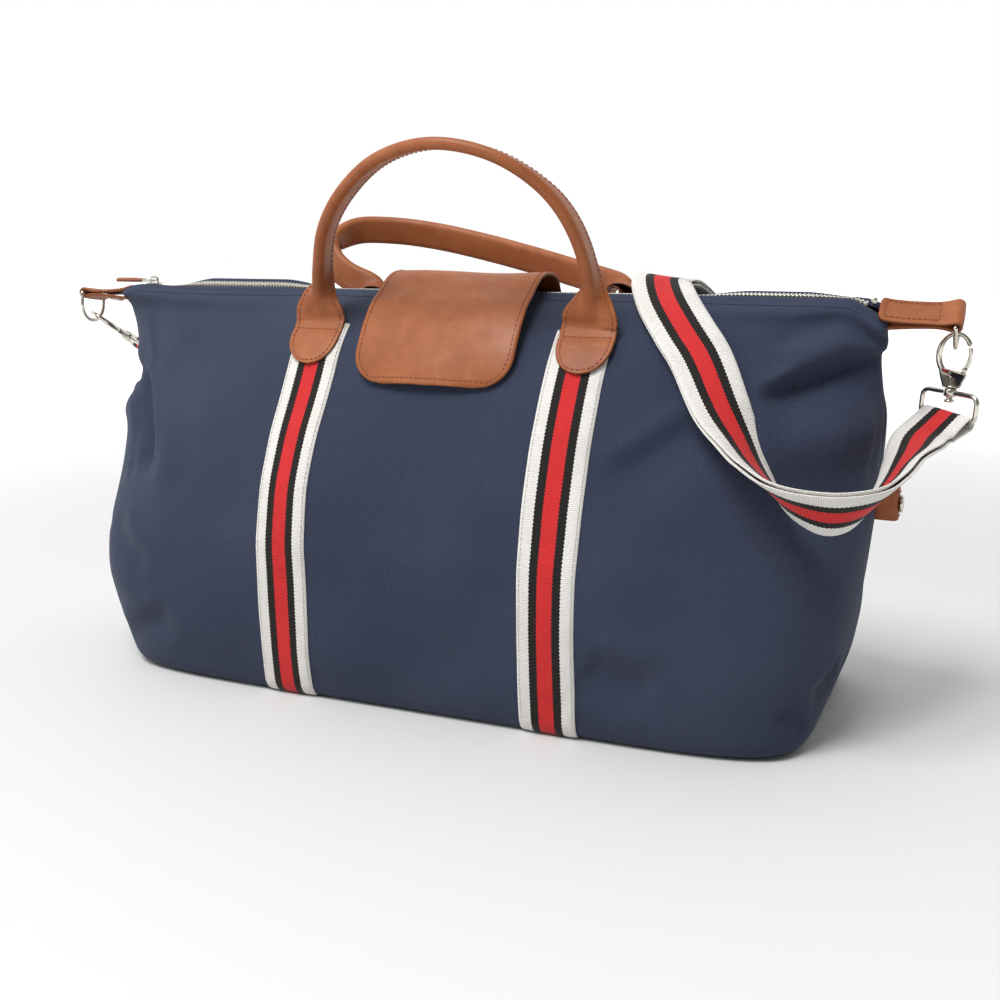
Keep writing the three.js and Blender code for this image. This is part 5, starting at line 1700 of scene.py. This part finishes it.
def hook(hand, place_data):
    place, _, through, up = frame_map(place_data["pivot"], place_data["eye"], place_data["up"])
    outline = [(-5.2, 3.2), (5.2, 3.2), (7.0, 7.4), (8.6, 12.4), (4.5, 13.8), (0.2, 14.4), (-4.5, 15.4),
               (-8.6, 15.6), (-8.0, 11.0), (-6.6, 7.0)]
    outline = centripetal(np.array([(x, 0, z) for x, z in outline + outline[:1]], float),
                          np.linspace(0, 1, 70))[:-1]
    middle = outline.mean(axis=0)
    rings = []
    for y, grow in ((-2.3, 0.86), (-1.9, 0.96), (-1.2, 1.0), (1.2, 1.0), (1.9, 0.96), (2.3, 0.86)):
        ring = middle + (outline - middle) * grow
        ring[:, 1] = y
        rings.append(place(ring))
    shield = loft("hook_shield", rings)
    arc = hook_arc(np.linspace(NOSE_ANGLE, 292, 80), 9.7, EYE_HALF)
    eye_line = resample(place(arc), 110)
    top = place([(0, 0, EYE_MIDDLE + EYE_HALF)])[0]
    apart = np.linalg.norm(eye_line - top, axis=1)
    thick = (1.55 + 0.55 * smooth_step(0.006, 0.014, apart)) * MM
    eye = tube("hook_eye", eye_line, thick, sides=18, normal=through, flatness=1.08)
    tip = turned_profile("hook_nose", NOSE, place(arc)[0], through, 20)
    post = turned_profile("hook_post", POST, place_data["pivot"], up, 36)
    piece = join([shield, eye, tip, post], f"hook_body_{hand}")
    settle(piece, NICKEL, "hardware", f"hook_{hand}", f"swivel_hook_{hand}")
    gate_line = place(hook_arc(np.linspace(-44, 22, 30), 9.5, 13.4))
    bar = tube("gate_bar", gate_line, 1.45 * MM, sides=16, normal=through)
    knuckle = turned_profile("gate_knuckle", KNUCKLE, gate_line[0], through, 24)
    gate = join([bar, knuckle], f"hook_gate_bar_{hand}")
    settle(gate, NICKEL, "hardware", f"hook_gate_{hand}", f"hook_gate_{hand}")


def strap_ring(hand, place_data):
    place, across, through, up = frame_map(place_data["pivot"], place_data["ring"], place_data["up"])
    outline = rounded_rectangle(22.3, 8.5, 5.0)
    outline = np.array([(x, 0, z - 8.5) for x, z in outline])
    closed = np.concatenate([outline, outline[:1]])
    line = resample(place(closed), 221)[:-1]
    wire = tube("ring_wire", line, 1.7 * MM, closed=True, sides=20, normal=through)
    angles = 2 * math.pi * np.arange(36) / 36
    circle = np.cos(angles)[:, None] * across + np.sin(angles)[:, None] * through
    rings = [vec(*place_data["pivot"]) + r * MM * circle + h * MM * up for r, h in BOSS]
    boss = loft("ring_boss", rings, True)
    piece = join([wire, boss], f"strap_ring_wire_{hand}")
    settle(piece, NICKEL, "hardware", f"strap_ring_{hand}", f"strap_ring_{hand}")


for hand in ("left", "right"):
    d_ring(hand, TABS[hand])
    hook(hand, HARDWARE[hand])
    strap_ring(hand, HARDWARE[hand])

# ------------------------------------------------------------------ magnetic snap

MAGNET_PLACE = (-0.002, 0.243)
MAGNET = [(0.1, 0.0), (8.4, 0.0), (9.0, 0.3), (9.0, 1.2), (8.6, 1.6), (3.4, 1.6), (3.0, 1.35), (0.1, 1.3)]

for name, lift, body, node in (("magnet_on_bag", 0.6 * MM, "bag", "magnet_front"),
                               ("magnet_on_flap", 2.7 * MM, "flap", "magnet_flap")):
    disc = turned_profile(name, MAGNET, on_skin(*MAGNET_PLACE, -1, lift), skin_normal(*MAGNET_PLACE, -1), 48)
    settle(disc, NICKEL, "hardware", body, node)

# ------------------------------------------------------------------ floor, light and world

FLOOR_HALF = 6.0
GLOW_RUN = (0.45, 2.4)
FLOOR_GLOW = 0.85
WHITE_SIDE = (-0.6, 0.8, 0)

def area_light(name, place, target, size, power):
    data = bpy.data.lights.new(name, "AREA")
    data.shape = "RECTANGLE"
    data.size = data.size_y = size
    data.energy = power
    light = bpy.data.objects.new(name, data)
    bpy.context.collection.objects.link(light)
    light.location = place
    aim = Vector(target) - Vector(place)
    light.rotation_euler = aim.to_track_quat("-Z", "Y").to_euler()


def floor():
    """Pale floor that grows brighter away from the bag."""
    corners = np.array([(-1, -1, 0), (1, -1, 0), (1, 1, 0), (-1, 1, 0)])
    piece = make_mesh("floor", FLOOR_HALF * corners, [(0, 1, 2, 3)])
    s = Shader("floor_white")
    reach = s.add("ShaderNodeVectorMath", {"operation": "LENGTH"}, i0=s.object_place())
    glow = s.add("ShaderNodeMapRange", {"interpolation_type": "SMOOTHSTEP"}, i0=reach.outputs["Value"],
                 i1=GLOW_RUN[0], i2=GLOW_RUN[1], i3=0.0, i4=FLOOR_GLOW)
    piece.data.materials.append(s.finish(Base_Color=grey(0.70), Roughness=0.7, Emission_Color=grey(1),
                                         Emission_Strength=glow.outputs[0]))


def world():
    """White to the back left, grey to the front right."""
    scene = bpy.context.scene
    scene.world = bpy.data.worlds.new("studio")
    scene.world.use_nodes = True
    tree = scene.world.node_tree
    place = tree.nodes.new("ShaderNodeTexCoord")
    side = tree.nodes.new("ShaderNodeVectorMath")
    side.operation = "DOT_PRODUCT"
    side.inputs[1].default_value = WHITE_SIDE
    share = tree.nodes.new("ShaderNodeMath")
    share.operation = "MULTIPLY_ADD"
    share.inputs[1].default_value = share.inputs[2].default_value = 0.5
    ramp = tree.nodes.new("ShaderNodeValToRGB")
    tree.links.new(place.outputs["Generated"], side.inputs[0])
    tree.links.new(side.outputs["Value"], share.inputs[0])
    tree.links.new(share.outputs[0], ramp.inputs[0])
    tree.links.new(ramp.outputs[0], tree.nodes["Background"].inputs["Color"])
    first, last = ramp.color_ramp.elements
    first.position, first.color = 0.30, grey(0.20)
    last.position, last.color = 0.60, grey(1)
    tree.nodes["Background"].inputs["Strength"].default_value = 1.0
    scene.view_settings.view_transform = "Standard"
    scene.view_settings.look = "None"


floor()
world()
area_light("key", (-0.25, -1.20, 2.3), (0.0, 0, 0.14), 1.1, 53)
area_light("fill", (-1.9, -1.6, 1.1), (0, 0, 0.15), 1.4, 6)
add_camera()
